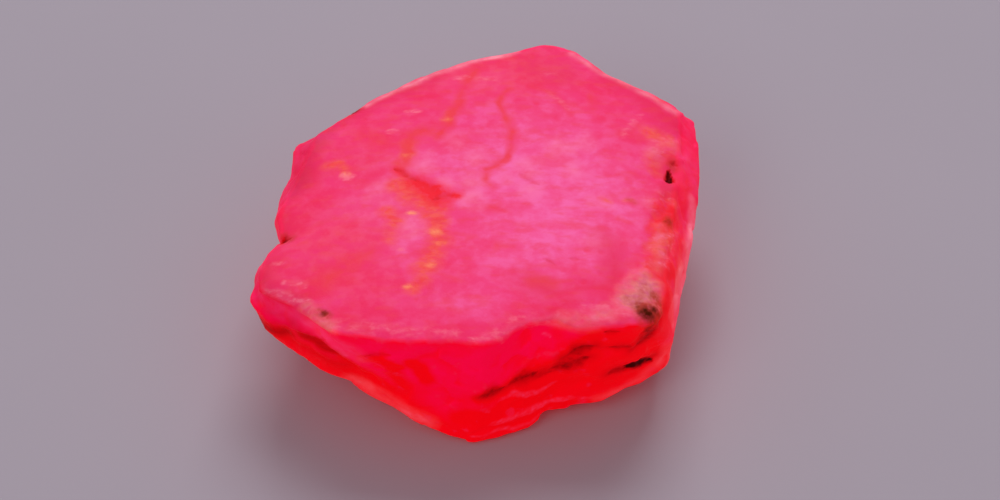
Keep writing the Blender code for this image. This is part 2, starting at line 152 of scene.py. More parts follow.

# Painted shade of the near side: its deepest reds, in the hollows, creases and furrows, with the glow a little
# weaker: places across and up it, width and strength
DEEP_REDS = (
    ("lobe's face", ((-8.0, 3.5), (-7.2, 3.6), (-6.2, 3.5), (-5.2, 2.9), (-4.4, 2.3)), 0.8, 0.5),
    ("lobe's crease", ((-5.4, 4.2), (-4.7, 3.3), (-4.0, 2.7), (-3.3, 2.4)), 0.4, 1.0),
    ("scoop", ((-4.3, 4.3), (-3.7, 4.5), (-3.2, 4.4), (-2.9, 4.1)), 0.35, 1.0),
    ("scoop's tail", ((-3.2, 4.1), (-3.0, 3.4), (-2.7, 2.6)), 0.5, 0.7),
    ("left hollow", ((-2.4, 4.4), (-2.1, 4.2), (-1.8, 3.5)), 0.5, 0.9),
    ("step, left", ((0.4, 2.8), (1.2, 2.9), (2.4, 3.1)), 0.6, 1.2),
    ("step, middle", ((1.8, 3.0), (2.8, 3.4), (3.6, 3.7), (4.4, 4.2)), 0.9, 1.2),
    ("step, right", ((3.6, 4.5), (4.2, 4.9), (4.6, 4.3), (4.7, 3.5)), 0.7, 1.0),
    ("below the step", ((1.9, 2.5), (2.9, 2.6), (3.8, 2.7), (4.6, 3.0)), 0.6, 1.1),
    ("low hollow", ((-0.5, 1.6), (0.2, 1.6), (0.9, 1.7)), 0.6, 1.1),
    ("low furrow", ((1.1, 2.0), (1.9, 1.85), (2.9, 1.8)), 0.5, 1.1),
    ("lowest furrow", ((1.0, 0.95), (1.8, 0.9), (3.0, 0.95), (4.6, 0.95)), 0.5, 1.0),
    ("right crack", ((5.0, 3.0), (5.6, 2.9), (6.2, 2.8), (6.9, 2.9)), 0.8, 1.1),
    ("below the right crack", ((4.8, 2.2), (5.6, 2.35), (6.4, 2.4)), 0.6, 1.1),
    ("over the right crack", ((5.2, 3.6), (6.2, 3.7), (7.0, 3.6)), 0.5, 0.9),
    ("under the crust", ((4.5, 5.3), (5.2, 5.1), (5.9, 4.8), (6.6, 4.5), (7.1, 4.1)), 0.7, 1.1),
    ("right of the crust", ((7.1, 5.6), (7.4, 4.7), (7.5, 3.9)), 0.5, 1.0),
)

# Roughness of the skin: the size of its forms, how far they stand out and the seed that they are drawn from
SWELL_SIZE, SWELL_HEIGHT, SWELL_SEED = 4.2, 0.1, 11
LUMP_SIZE, LUMP_HEIGHT, LUMP_SEED = 1.5, 0.06, 23
FACET_SIZE, FACET_HEIGHT, FACET_SEED, FACET_CRISPNESS = 2.8, 0.18, 37, 16
SPLINTER_SIZE, SPLINTER_HEIGHT, SPLINTER_SEED, SPLINTER_CRISPNESS = 1.15, 0.09, 83, 36
TOP_ROUGHNESS = 0.4
CENTRE_SCATTER = 0.45

# How a lattice node's coordinates and a seed are mixed into one fixed number: by a factor each, then by
# turns of shifting and multiplying
NODE_FACTORS, SEED_FACTOR = (73856093, 19349663, 83492791), 2654435761
MIXING_TURNS = ((15, 2246822519), (13, 3266489917), (16, 668265263))

# Places down the stone, counted in rings: 0 is the top's middle, 1 its edge, 2 the girdle, 3 the keel, 4 the
# foot. Each pair says where the relief of a part starts and is whole, or where it begins to end and is gone
SIDE_STARTS = (0.85, 1.25)
NEAR_RELIEF_STARTS = (1.0, 1.2)
TOP_MARKS_END = (1.0, 1.3)
TOP_RELIEF_ENDS = (1.1, 1.5)
RELIEF_ENDS = (3.4, 3.9)
FINE_RELIEF_ENDS = (3.9, 4.2)
BASE_MIDDLE = 5.0

# The same for the colours
SIDE_COLOUR_STARTS = (0.95, 1.15)
TOP_COLOUR_ENDS = (1.0, 1.25)
FROST_AND_SHEEN_ENDS = (0.8, 1.0)
FAR_RIM_HIGHLIGHT_STARTS = (0.88, 1.0)
RIGHT_EDGE_HIGHLIGHT_STARTS = (1.3, 1.65)
BROWN_ENDS = (1.04, 1.3)
GRAIN_ENDS = (1.2, 1.5)
GASH_ENDS = (1.5, 1.9)
MOTTLED_ENDS = (1.2, 1.6)
DIM_ENDS = (1.6, 2.2)

# Ridges of the near side with a painted highlight: places across and up it, width, height and paleness, which
# is the strength of that painted highlight
SIDE_RIDGES = (
    ("above the furrow", ((0.9, 2.3), (1.5, 2.5), (2.0, 2.3), (2.6, 2.3), (3.0, 2.5), (3.3, 2.6)),
     0.22, 0.04, 0.7),
    ("below the furrow", ((0.5, 1.2), (1.1, 1.3), (1.8, 1.25), (2.5, 1.3), (3.1, 1.25), (3.7, 1.4),
                          (4.3, 1.3), (4.9, 1.2)), 0.24, 0.05, 0.8),
    ("lowest", ((-0.2, 0.7), (0.3, 0.6), (0.9, 0.8), (1.5, 0.6), (2.4, 0.6), (3.1, 0.8)), 0.2, 0.04, 0.5),
    ("over the step", ((1.4, 3.45), (1.8, 3.7), (2.2, 4.1), (2.8, 4.4), (3.3, 4.7)), 0.3, 0.03, 0.25),
    ("upper face", ((2.55, 5.5), (2.95, 5.25)), 0.14, 0.03, 0.7),
    ("left foot", ((-3.0, 1.3), (-2.2, 1.1), (-1.4, 0.9)), 0.3, 0.04, 0.5),
)

# Open cracks, each narrowing to its ends: places across and up the near side, or in plan on the top face,
# then width, depth and blackness, which is painted shade down in the crack
SIDE_CRACKS = (
    ("lobe, left part", ((-8.8, 3.5), (-8.2, 3.7), (-7.6, 3.95), (-7.2, 4.1)), 0.7, 0.02, 0.3),
    ("lobe, right part", ((-6.6, 4.6), (-6.1, 4.5), (-5.6, 4.35)), 0.7, 0.02, 0.3),
    ("lobe, far part", ((-5.4, 4.2), (-5.0, 3.8), (-4.4, 3.1)), 0.5, 0.02, 0.2),
    ("step, left", ((0.3, 3.0), (0.8, 3.05), (1.15, 3.05)), 0.7, 0.02, 0.5),
    ("step, middle", ((1.4, 3.15), (1.9, 3.2), (2.4, 3.35)), 0.75, 0.03, 0.5),
    ("step, right", ((3.0, 3.5), (3.6, 3.75), (4.1, 4.0), (4.4, 4.1)), 0.8, 0.05, 0.48),
    ("step, top", ((3.7, 4.4), (4.2, 4.7), (4.6, 4.8)), 0.7, 0.04, 0.5),
    ("step, lower strand", ((2.0, 2.95), (2.6, 3.15), (3.3, 3.4)), 0.25, 0.03, 0.4),
    ("right crack, tail", ((5.2, 2.8), (5.7, 2.85), (6.1, 2.85)), 0.45, 0.04, 0.5),
    ("right crack, core", ((5.8, 2.95), (6.3, 2.9), (6.7, 2.7), (7.0, 2.45)), 0.34, 0.08, 1.25),
    ("by the crust", ((7.0, 4.8), (6.7, 4.55), (6.3, 4.25)), 0.7, 0.03, 0.42),
    ("under the crust", ((5.2, 4.6), (5.6, 4.5), (6.1, 4.4)), 0.45, 0.03, 0.35),
    ("under the rim", ((5.0, 5.6), (5.6, 5.5)), 0.3, 0.03, 0.4),
    ("scoop", ((-4.3, 4.5), (-3.7, 4.85), (-3.2, 4.9)), 0.3, 0.04, 0.25),
)
TOP_CRACKS = (
    ("cleft, left end", ((-3.2, 1.3), (-2.8, 0.95), (-2.2, 0.4)), 0.22, 0.05, 0.25),
    ("cleft, middle", ((-2.3, 0.45), (-1.9, 0.1), (-1.5, -0.25)), 0.5, 0.06, 0.1),
    ("cleft, right end", ((-1.5, -0.4), (-1.1, -0.45), (-0.8, -0.35)), 0.3, 0.04, 0.15),
    ("cleft, dark corner", ((-1.6, -0.55), (-1.3, -0.5)), 0.2, 0.03, 0.3),
    ("right edge pit", ((7.72, 1.6), (7.7, 0.85)), 0.23, 0.12, 1.8),
    ("right edge, far pit", ((7.95, 2.1), (7.9, 1.9)), 0.26, 0.05, 0.5),
    ("left nick", ((-7.7, -1.9), (-7.3, -2.05)), 0.4, 0.12, 0.6),
    ("fine crack", ((1.7, 0.95), (2.1, 0.6), (2.6, 0.2)), 0.24, 0.01, 0.14),
    ("short stroke", ((2.7, -3.8), (3.2, -4.1)), 0.16, 0.02, 0.2),
    ("short stroke, right", ((3.6, -3.8), (4.1, -3.9)), 0.14, 0.02, 0.17),
)

# Painted shade of the near side, soft and dark in its hollows, under the ledges and round the cracks: places
# across and up it, width and how dark
SIDE_SHADES = (
    ("lobe's crease", ((-8.8, 3.4), (-8.1, 3.6), (-7.6, 3.8), (-7.2, 3.95)), 0.8, 0.5),
    ("lobe's crease, right part", ((-6.7, 4.4), (-6.1, 4.35), (-5.5, 4.1)), 0.7, 0.5),
    ("step, left", ((0.3, 2.95), (0.9, 3.0), (1.4, 3.05)), 0.5, 0.4),
    ("step", ((1.5, 3.05), (2.4, 3.3), (3.6, 3.75), (4.5, 4.15)), 0.6, 0.3),
    ("step, top", ((3.4, 4.2), (4.0, 4.65), (4.7, 4.85)), 0.55, 0.4),
    ("right crack", ((5.2, 2.85), (6.0, 2.95), (7.1, 2.8)), 0.55, 0.35),
    ("by the crust", ((7.1, 5.0), (6.7, 4.55), (6.1, 4.2)), 0.6, 0.4),
    ("under the crust", ((4.9, 4.7), (5.6, 4.5), (6.3, 4.4)), 0.5, 0.25),
    ("lobe's lower face", ((-8.4, 3.4), (-7.0, 3.6), (-6.0, 3.5), (-5.0, 3.0)), 1.2, 0.28),
)

# Pure red places along the cleft and the right edge, in plan: width and strength
GASHES = (
    ("cleft, left end", ((-3.1, 1.2), (-2.8, 0.9), (-2.2, 0.35)), 0.3, 0.6),
    ("cleft, middle", ((-2.3, 0.4), (-1.8, 0.1), (-1.3, -0.2)), 0.7, 1.0),
    ("cleft, near part", ((-1.9, 0.0), (-1.6, -0.35), (-1.3, -0.5)), 0.7, 1.3),
    ("cleft, right end", ((-1.4, -0.4), (-1.0, -0.45), (-0.75, -0.35)), 0.42, 1.1),
    ("right edge, far part", ((8.5, 1.6), (8.5, 1.0), (8.2, 0.2)), 0.5, 0.5),
    ("right edge, blotch", ((7.6, -0.6), (7.75, -0.8), (7.4, -1.4), (7.2, -2.0)), 0.5, 1.5),
    ("right edge, strip", ((8.45, -0.9), (8.3, -1.9), (8.0, -2.9), (7.65, -3.8), (7.25, -4.6)), 0.38, 1.4),
    ("right edge, small patch", ((6.9, -3.5), (7.1, -3.7)), 0.35, 0.9),
    ("right edge, near part", ((7.2, -3.9), (7.3, -4.4), (7.6, -4.9)), 0.6, 1.4),
    ("beside the crust", ((7.7, -4.7), (7.6, -5.5), (7.4, -6.1)), 0.5, 0.8),
    ("pit", ((7.9, 2.4), (7.8, 1.9)), 0.4, 0.5),
)

# Healed cracks of the top face, in plan: width and how strongly they colour
VEINS = (
    ("long vein, far end", ((0.1, 7.5), (-0.2, 6.9), (-0.4, 6.3)), 0.45, 0.8),
    ("long vein", ((-0.4, 6.3), (-0.6, 5.6), (-0.7, 4.9)), 0.35, 0.5),
    ("long vein, near part", ((-0.6, 5.2), (-0.9, 4.4), (-1.1, 3.7), (-1.5, 3.1)), 0.45, 0.9),
    ("long vein, bend", ((-1.3, 3.4), (-1.7, 3.5), (-2.2, 3.4)), 0.5, 0.7),
    ("long vein, lower part", ((-2.0, 3.4), (-2.5, 3.2), (-2.7, 2.5), (-2.6, 1.8), (-2.9, 1.2)), 0.55, 0.9),
    ("middle vein, far part", ((1.3, 5.9), (1.0, 5.1), (1.2, 4.4), (1.5, 3.4)), 0.26, 0.75),
    ("middle vein", ((1.5, 3.4), (1.5, 2.5), (1.3, 1.8), (0.9, 1.35), (0.4, 1.1)), 0.28, 1.0),
    ("middle vein, near end", ((0.4, 1.15), (0.45, 0.5), (0.75, 0.05)), 0.26, 0.75),
    ("far vein", ((2.3, 6.1), (3.3, 5.5), (3.9, 4.4)), 0.24, 0.4),
    ("far short vein", ((4.7, 5.6), (4.8, 4.8)), 0.3, 0.5),
    ("right vein", ((5.8, 3.3), (6.3, 3.5), (6.7, 4.0)), 0.28, 0.4),
    ("left streak", ((-5.8, -4.9), (-5.0, -4.1), (-4.0, -3.4)), 0.6, 0.6),
    ("far left streak", ((-4.4, 3.3), (-3.7, 2.8)), 0.6, 0.6),
    ("middle streak", ((0.6, -1.0), (1.2, -1.15)), 0.3, 0.6),
    ("near streak", ((0.9, -3.1), (1.5, -3.2)), 0.3, 0.6),
    ("near streak, right", ((2.2, -4.9), (3.0, -5.1)), 0.45, 0.6),
)

# Stained places of the top face, in plan: width and how strongly they colour
STAINS = (
    ("beside the cleft", ((-2.9, 0.3), (-2.5, -0.3), (-1.9, -0.7), (-1.5, -1.0)), 0.8, 1.1),
    ("ring, right side", ((-1.7, -1.1), (-1.4, -2.0), (-1.3, -2.8), (-1.5, -3.5), (-1.8, -4.2)), 0.65, 1.1),
    ("ring, left side", ((-3.5, -1.2), (-3.1, -1.7), (-3.3, -2.7)), 0.5, 0.8),
    ("ring, tail", ((-1.5, -4.1), (-2.2, -4.4), (-1.9, -4.9), (-2.4, -5.4)), 0.5, 0.7),
    ("long vein", ((-0.9, 4.5), (-1.1, 3.9)), 0.3, 0.7),
    ("long vein, lower part", ((-2.6, 2.7), (-2.5, 2.1), (-2.9, 1.6)), 0.4, 0.7),
    ("right edge, salmon", ((8.1, -0.5), (8.1, -1.4), (7.8, -2.2), (7.3, -2.7)), 0.6, 1.4),
    ("right edge, near part", ((7.1, -2.8), (7.1, -3.5), (6.9, -4.1)), 0.5, 0.9),
    ("far right", ((7.0, 2.1), (7.2, 1.5)), 0.5, 0.7),
    ("far right rim", ((7.1, 3.5), (7.6, 3.3)), 0.6, 1.1),
    ("left, by the spot", ((-6.0, 1.7), (-5.5, 1.8), (-5.1, 1.4)), 0.35, 0.9),
    ("right spots", ((5.1, -0.5), (5.3, -0.5)), 0.25, 0.6),
    ("right ring", ((6.0, -0.5), (6.2, -0.5)), 0.25, 0.6),
)

# Deeper rose and crimson places of the top face, in plan: width and strength
BLUSHES = (
    ("right rim, far", ((7.6, 2.1), (8.5, 1.9), (8.3, 1.2), (8.0, 0.2)), 0.8, 1.0),
    ("right rim, strip", ((8.2, -0.6), (8.0, -1.9), (7.7, -3.6), (7.5, -4.6)), 0.6, 1.0),
    ("near rim", ((2.0, -5.0), (3.3, -5.6), (5.2, -5.3)), 1.1, 0.5),
    ("low right", ((5.1, -2.6), (5.4, -3.6), (5.4, -5.0)), 0.9, 0.6),
    ("far tip", ((2.4, 7.4), (3.4, 7.0)), 1.2, 0.5),
    ("far right rim", ((5.6, 7.0), (6.9, 5.6), (8.0, 4.4)), 1.0, 0.6),
    ("far left rim", ((-6.0, 4.2), (-4.0, 5.5), (-1.6, 7.0)), 0.7, 0.7),
    ("far left corner", ((-7.2, 3.0), (-7.0, 1.4)), 1.3, 0.8),
    ("left tip", ((-8.6, -4.6), (-8.2, -4.2), (-8.0, -3.4)), 0.9, 0.8),
    ("left nick", ((-7.9, -0.6), (-7.4, -1.8)), 0.8, 0.7),
)

# Pale crusted places of the top face, in plan: width and how thickly they cover
CRUSTED = (
    ("corner patch", ((6.6, -5.0), (6.6, -5.5), (6.1, -5.8)), 0.95, 1.6),
    ("band along the rim", ((3.4, -7.0), (4.5, -6.9), (5.2, -6.5), (6.0, -6.1)), 0.55, 0.5),
    ("lobe", ((-6.4, -6.1), (-5.9, -6.9), (-5.6, -7.1)), 0.55, 0.9),
    ("right edge, far part", ((8.0, 3.0), (7.6, 3.3), (7.1, 2.6)), 0.45, 0.35),
    ("right edge, near part", ((7.3, -1.6), (7.3, -2.6), (7.1, -4.0)), 0.35, 0.4),
)

# Thin pale streaks of the top face, in plan: width and strength
PALE_STREAKS = (
    ("lobe, far streak", ((-7.9, -3.4), (-7.4, -3.5)), 0.2, 0.7),
    ("lobe, upper streak", ((-7.3, -4.6), (-6.5, -4.8)), 0.24, 0.9),
    ("lobe, middle streak", ((-8.3, -4.8), (-7.6, -5.0), (-6.9, -5.4)), 0.3, 0.6),
    ("lobe, lower streak", ((-6.9, -5.5), (-6.3, -5.7)), 0.22, 0.9),
    ("lobe, near streak", ((-5.9, -6.8), (-5.5, -7.0)), 0.2, 0.7),
    ("near rim, left part", ((-5.4, -7.0), (-3.9, -7.2), (-2.0, -7.5), (-0.6, -7.7)), 0.45, 0.5),
    ("near rim, right part", ((0.0, -7.9), (0.9, -7.7), (1.5, -7.1), (2.3, -6.8), (3.4, -6.9)), 0.4, 0.6),
    ("crust band, upper", ((4.2, -6.4), (5.0, -6.3), (5.8, -5.9)), 0.3, 0.7),
    ("crust band, lower", ((4.6, -6.8), (5.4, -6.6), (6.1, -6.4)), 0.3, 0.8),
    ("far right streak", ((6.7, 4.5), (6.3, 3.9), (6.0, 3.3)), 0.3, 0.45),
    ("far diagonal", ((3.0, 5.6), (3.5, 5.2), (3.8, 4.7)), 0.2, 0.5),
    ("right edge, upper", ((7.2, -2.3), (7.9, -1.9)), 0.24, 1.0),
    ("right edge, lower", ((6.9, -3.8), (7.5, -3.7)), 0.22, 0.9),
    ("right edge, nearer", ((7.2, -3.2), (7.6, -3.1)), 0.2, 0.7),
)

# Browned places round the nicks and in the crust, in plan: width and strength
BROWNED = (
    ("right of the crust", ((7.0, -5.4), (7.2, -5.7), (7.1, -6.0)), 0.4, 0.9),
    ("below the crust", ((6.5, -6.5), (7.0, -6.3)), 0.5, 0.9),
    ("by the grains", ((6.5, -6.05), (7.1, -6.0)), 0.5, 0.6),
    ("round the grains", ((6.5, -6.15), (6.75, -6.4), (7.05, -6.35)), 0.5, 1.4),
    ("lobe", ((-5.9, -6.2), (-5.6, -6.5)), 0.3, 0.8),
    ("left nick", ((-7.7, -1.9), (-7.3, -2.1)), 0.4, 0.6),
    ("right edge", ((7.62, -1.25), (7.65, -1.45)), 0.28, 0.9),
    ("right pit", ((7.9, 2.1), (7.85, 1.8)), 0.3, 0.5),
    ("far left rim", ((-5.1, 5.1), (-4.7, 5.3)), 0.25, 0.8),
    ("right ring", ((6.1, -0.4), (6.3, -0.55)), 0.2, 0.35),
)

# Small spots of the top face: place in plan, radius and strength, and how the paler ones are drawn out
SPOT_STRETCH = (0.75, 1.35)
YELLOW_SPOTS = (
    ("ring, top", (-2.5, -1.3), 0.22, 0.8),
    ("ring, right", (-1.5, -2.4), 0.32, 0.55),
    ("ring, right lower", (-1.35, -3.0), 0.3, 0.35),
    ("ring, right low", (-1.7, -4.2), 0.22, 0.6),
    ("ring, tail", (-2.6, -5.3), 0.2, 0.8),
    ("left", (-5.1, 1.05), 0.3, 0.8),
    ("long vein", (-1.1, 4.1), 0.3, 0.25),
    ("long vein, low", (-2.7, 2.0), 0.3, 0.25),
)
PALE_SPOTS = (
    ("far left", (-2.5, 4.7), 0.36, 1.2),
    ("left of it", (-3.3, 3.5), 0.3, 1.4),
    ("beside that", (-2.7, 3.8), 0.4, 0.4),
    ("far rim", (-0.6, 6.9), 0.34, 1.2),
    ("apex", (0.4, 6.6), 0.7, 0.5),
    ("apex, right", (3.1, 7.0), 0.5, 0.5),
    ("left, by the yellow spot", (-5.05, 0.95), 0.36, 1.8),
    ("ring, low", (-2.8, -3.4), 0.26, 0.8),
    ("ring, right", (-1.6, -4.0), 0.24, 0.6),
    ("ring, top", (-2.6, -1.25), 0.3, 0.6),
    ("far right corner", (7.4, 3.2), 0.6, 0.6),
    ("ring's middle", (-2.3, -2.2), 0.7, 0.4),
)
DARK_GRAINS = (
    ("crust, tip", (6.35, -6.1), 0.2, 0.5),
    ("crust, left grain", (6.5, -6.42), 0.3, 0.9),
    ("crust, large grain", (6.7, -6.4), 0.4, 1.1),
    ("crust, right grain", (6.95, -6.15), 0.26, 0.8),
    ("lobe", (-5.75, -6.35), 0.24, 0.6),
    ("far left rim", (-4.9, 5.25), 0.3, 1.0),
    ("right edge, near part", (7.63, -1.35), 0.2, 0.4),
)

# Soft clouds of frost and painted sheen on the top face: middle and half widths in plan, and strength
FROST_AND_SHEEN_CLOUDS = (
    ("main", (3.9, -0.6), (2.8, 3.2), 1.05),
    ("left of it", (0.5, 0.4), (2.0, 1.8), 0.75),
    ("far part", (1.7, 3.6), (3.0, 2.0), 0.5),
    ("near part", (1.6, -4.2), (3.4, 1.8), 0.4),
    ("inside the ring", (-2.4, -2.7), (0.8, 1.3), 0.65),
    ("above the cleft", (-2.0, 1.6), (1.2, 1.0), 0.5),
    ("left", (-3.7, -0.6), (1.6, 2.0), 0.35),
    ("low centre", (1.0, -2.4), (2.2, 1.2), 0.3),
    ("near rim", (-0.6, -6.4), (1.8, 0.9), 0.35),
)

# Small puffs of thicker frost: place in plan, radius and strength
PUFFS = (
    ("above the cleft", (-2.1, 1.5), 0.9, 0.9),
    ("left of the middle vein", (-0.7, 2.7), 0.8, 0.5),
    ("middle vein, far side", (0.1, 1.8), 0.8, 0.8),
    ("middle vein, near side", (0.0, 0.4), 0.9, 0.7),
    ("right of the cleft", (-1.1, 0.3), 0.6, 0.9),
    ("centre", (-0.1, -0.5), 0.9, 0.9),
    ("left of the cleft", (-3.7, 0.0), 0.9, 0.6),
    ("right, far", (3.4, 2.4), 0.9, 0.8),
    ("right, farther", (4.4, 2.7), 0.7, 0.8),
    ("over the fine crack", (2.1, 1.3), 0.8, 0.9),
    ("under the fine crack", (2.2, 0.0), 0.8, 0.6),
    ("by the middle vein", (1.2, 0.6), 0.6, 0.6),
    ("right", (4.0, 1.1), 0.8, 0.6),
    ("far right", (5.0, -0.7), 0.7, 0.6),
    ("inside the ring", (-2.5, -2.1), 0.9, 0.9),
    ("right pit", (7.1, 2.3), 0.7, 0.7),
    ("near the right edge", (6.9, -0.4), 0.6, 0.5),
    ("low right", (4.6, -3.0), 0.9, 0.4),
)

# Where the top is tinged with orange: middle and half widths in plan, and strength
WARM_CLOUDS = (
    ("left", (-5.6, -3.2), (2.8, 3.4), 1.0),
    ("far left", (-4.6, 3.2), (2.2, 2.2), 0.6),
    ("far tip", (1.0, 7.4), (2.8, 1.6), 1.2),
    ("right edge", (7.6, -2.4), (1.0, 3.0), 0.8),
)

# Painted rim highlight along the far rim, in plan: width and strength
FAR_RIM_HIGHLIGHTS = (
    ("left part", ((-4.4, 5.5), (-3.8, 5.9), (-1.7, 7.2), (0.2, 8.2), (1.6, 8.5)), 0.33, 0.9),
    ("right part", ((4.0, 8.4), (5.3, 7.2), (6.7, 6.3), (8.1, 5.1)), 0.33, 0.65),
)

# Painted rim highlight along the right edge, below its rim, in plan: width and strength
RIGHT_EDGE_HIGHLIGHTS = (
    ("far part", ((8.8, 0.8), (8.75, 0.0), (8.65, -0.8)), 0.34, 1.1),
    ("middle", ((8.6, -0.8), (8.45, -1.6), (8.3, -2.4)), 0.32, 0.85),
    ("near part", ((8.3, -2.4), (8.05, -3.2), (7.75, -4.0), (7.5, -4.9)), 0.38, 1.1),
)

# Painted rim highlight along the foot of the near side and up its right corner: places across and up it, width
# and strength
FOOT_HIGHLIGHTS = (
    ("left foot", ((-4.7, 1.9), (-3.9, 1.5), (-3.0, 1.3), (-2.2, 1.0), (-1.8, 0.9)), 0.65, 0.45),
    ("left foot, upper", ((-4.4, 2.1), (-3.4, 1.9), (-2.6, 1.5)), 0.3, 0.3),
    ("right foot", ((4.9, 1.1), (5.8, 1.3), (6.6, 1.6), (7.3, 2.2), (7.7, 3.0)), 0.45, 0.35),
)

# Painted shade: where the painted glow is weaker and the colour rosier: paths in plan, width and strength
DIM_PLACES = (
    ("far left corner", ((-6.4, 3.7), (-7.0, 2.8), (-7.3, 1.0)), 1.0, 0.9),
    ("lobe's tip", ((-8.7, -3.8), (-8.5, -4.8), (-7.6, -5.4), (-6.8, -6.0)), 0.9, 0.9),
)

# The crumbled band of the right edge, where every colour of the skin shows, in plan: width and strength
MOTTLED = (
    ("far part", ((7.9, 3.4), (7.6, 2.6)), 0.6, 0.8),
    ("middle", ((7.6, -0.4), (7.6, -1.6), (7.4, -2.8), (7.1, -4.2)), 0.9, 1.3),
)

# Where the frost and a painted sheen reach over the rim onto the near side and round its right corner: places
# across and up it, width and strength
SIDE_FROST_AND_SHEEN = (
    ("lobe's bevel", ((-8.6, 4.9), (-7.6, 5.0), (-6.6, 5.2), (-5.7, 5.2), (-4.9, 4.9), (-4.3, 4.3)),
     0.6, 0.6),
    ("under the lobe's crust", ((-6.7, 5.4), (-6.2, 5.3), (-5.6, 4.9), (-5.1, 4.4)), 0.45, 1.3),
    ("right corner", ((7.7, 3.4), (7.9, 4.4)), 0.5, 0.6),
)

# Fine relief of the skin: the size of its forms, how far they reach and the seed that they are drawn from
RAGGED_SIZE, RAGGED_REACH, RAGGED_SEED = 0.55, 0.14, 301
WAVY_REACH = 0.4 * RAGGED_REACH
CRACK_TAPER, VEIN_WIDTH, VEIN_DEPTH = 0.85, 0.5, 0.02
RIM_SIZE, RIM_WANDER, RIM_SEED = 1.1, 0.02, 431
PIT_CELL, PIT_SEED = 0.8, 311
PIT_FIELD_SIZE, PIT_FIELD = 2.2, (-0.1, 0.5)
PIT_RADIUS, PIT_RADIUS_SPREAD, PIT_RADIUS_MOST, PIT_SCATTER = 0.16, 0.14, 0.3, 0.4
CHIP_CELL, CHIP_DEPTH, CHIP_SEED = 1.5, 0.12, 331
CHIP_OUTLINE_SIZE, CHIP_OUTLINE_REACH = 0.7, 0.2
CHIPPED_RIM, CHIPPED_REACH = 1.02, 0.16
HACKLE_SIZE, HACKLE_STRETCH, HACKLE_SEED = 0.7, (0.6, 0.6, 1.4), 347
CALM_FACE = ((-8.4, 4.8), (-6.6, 5.2), (-4.5, 4.8), (-1.0, 4.4), (-0.6, 3.5), (1.0, 4.6), (3.5, 5.6))
CALM_WIDTH, HACKLE_CALM = 2.4, 0.8
GRAIN_SIZE, GRAIN_SEED = 0.55, 367
CRUMB_FINE_SIZE, CRUMB_FINE_HEIGHT, CRUMB_FINE_SEED, CRUMB_FINE_WIDTH = 0.4, 0.06, 383, 0.7
MOTTLE_SIZE, MOTTLE_SEED = 1.3, 397
STRIA_SPACING, STRIA_HEIGHT, STRIA_SEED = 0.42, 0.008, 409
STRIA_TURN, STRIA_FAMILY_TURN = 20, 60
STRIA_BEND, STRIA_BEND_SIZE, STRIA_FIELD_SIZE, STRIA_FIELD = 0.5, 2.6, 3.1, (0.1, 0.6)
# How far the skin is smoothed to find its hollows, for the painted shade laid in them
CAVITY_ROUNDS, CAVITY_DEPTH = 14, 0.03

# Noises of the stone's skin: whether each is drawn out sideways, its size in metres, the limits that it is
# spread between, and its detail
DRAWN_TURN = (0.0, 0.0, 0.1)
DRAWN_SCALE = (0.5, 1.0, 1.0)
SKIN_NOISES = (
    ("clouded", False, 0.0016, 0.4, 0.62, 5.0),
    ("patchy", False, 0.0006, 0.3, 0.7, 6.0),
    ("speckled", False, 0.00022, 0.35, 0.65, 4.0),
    ("fine", False, 0.00009, 0.3, 0.7, 2.0),
    ("puffed", False, 0.0006, 0.46, 0.62, 3.0),
    ("streaked", True, 0.0008, 0.5, 0.75, 8.0),
    ("shaded", True, 0.0009, 0.5, 0.7, 8.0),
    ("flecked", True, 0.0004, 0.5, 0.68, 5.0),
    ("scratched", True, 0.00022, 0.48, 0.6, 3.0),
)

# The painted glow of the top as a share of that in the glow band, and no glow at all
GLOW_OF_TOP = 0.8
BLACK = (0.0, 0.0, 0.0)

# The studio, in metres: what the camera and the lights look at, and each light's place, size and colour
AIM = Vector((0.00086, -0.00088, 0.0033))
KEY_LIGHT = ((0.03, 0.24, 0.30), 0.22, (1.0, 0.97, 1.0))
FILL_LIGHT = ((-0.18, -0.26, 0.30), 0.25, (1.0, 1.0, 1.0))
FLOOR_RINGS, FLOOR_SPOKES = 24, 96
NEAREST_SEEN = 0.005


def colour_setting(name, description, default):
    """A colour that the user can change, by its red, green and blue."""
    return FloatVectorProperty(
        name=name, description=description, default=default, subtype="COLOR", size=3, min=0.0, max=1.0)


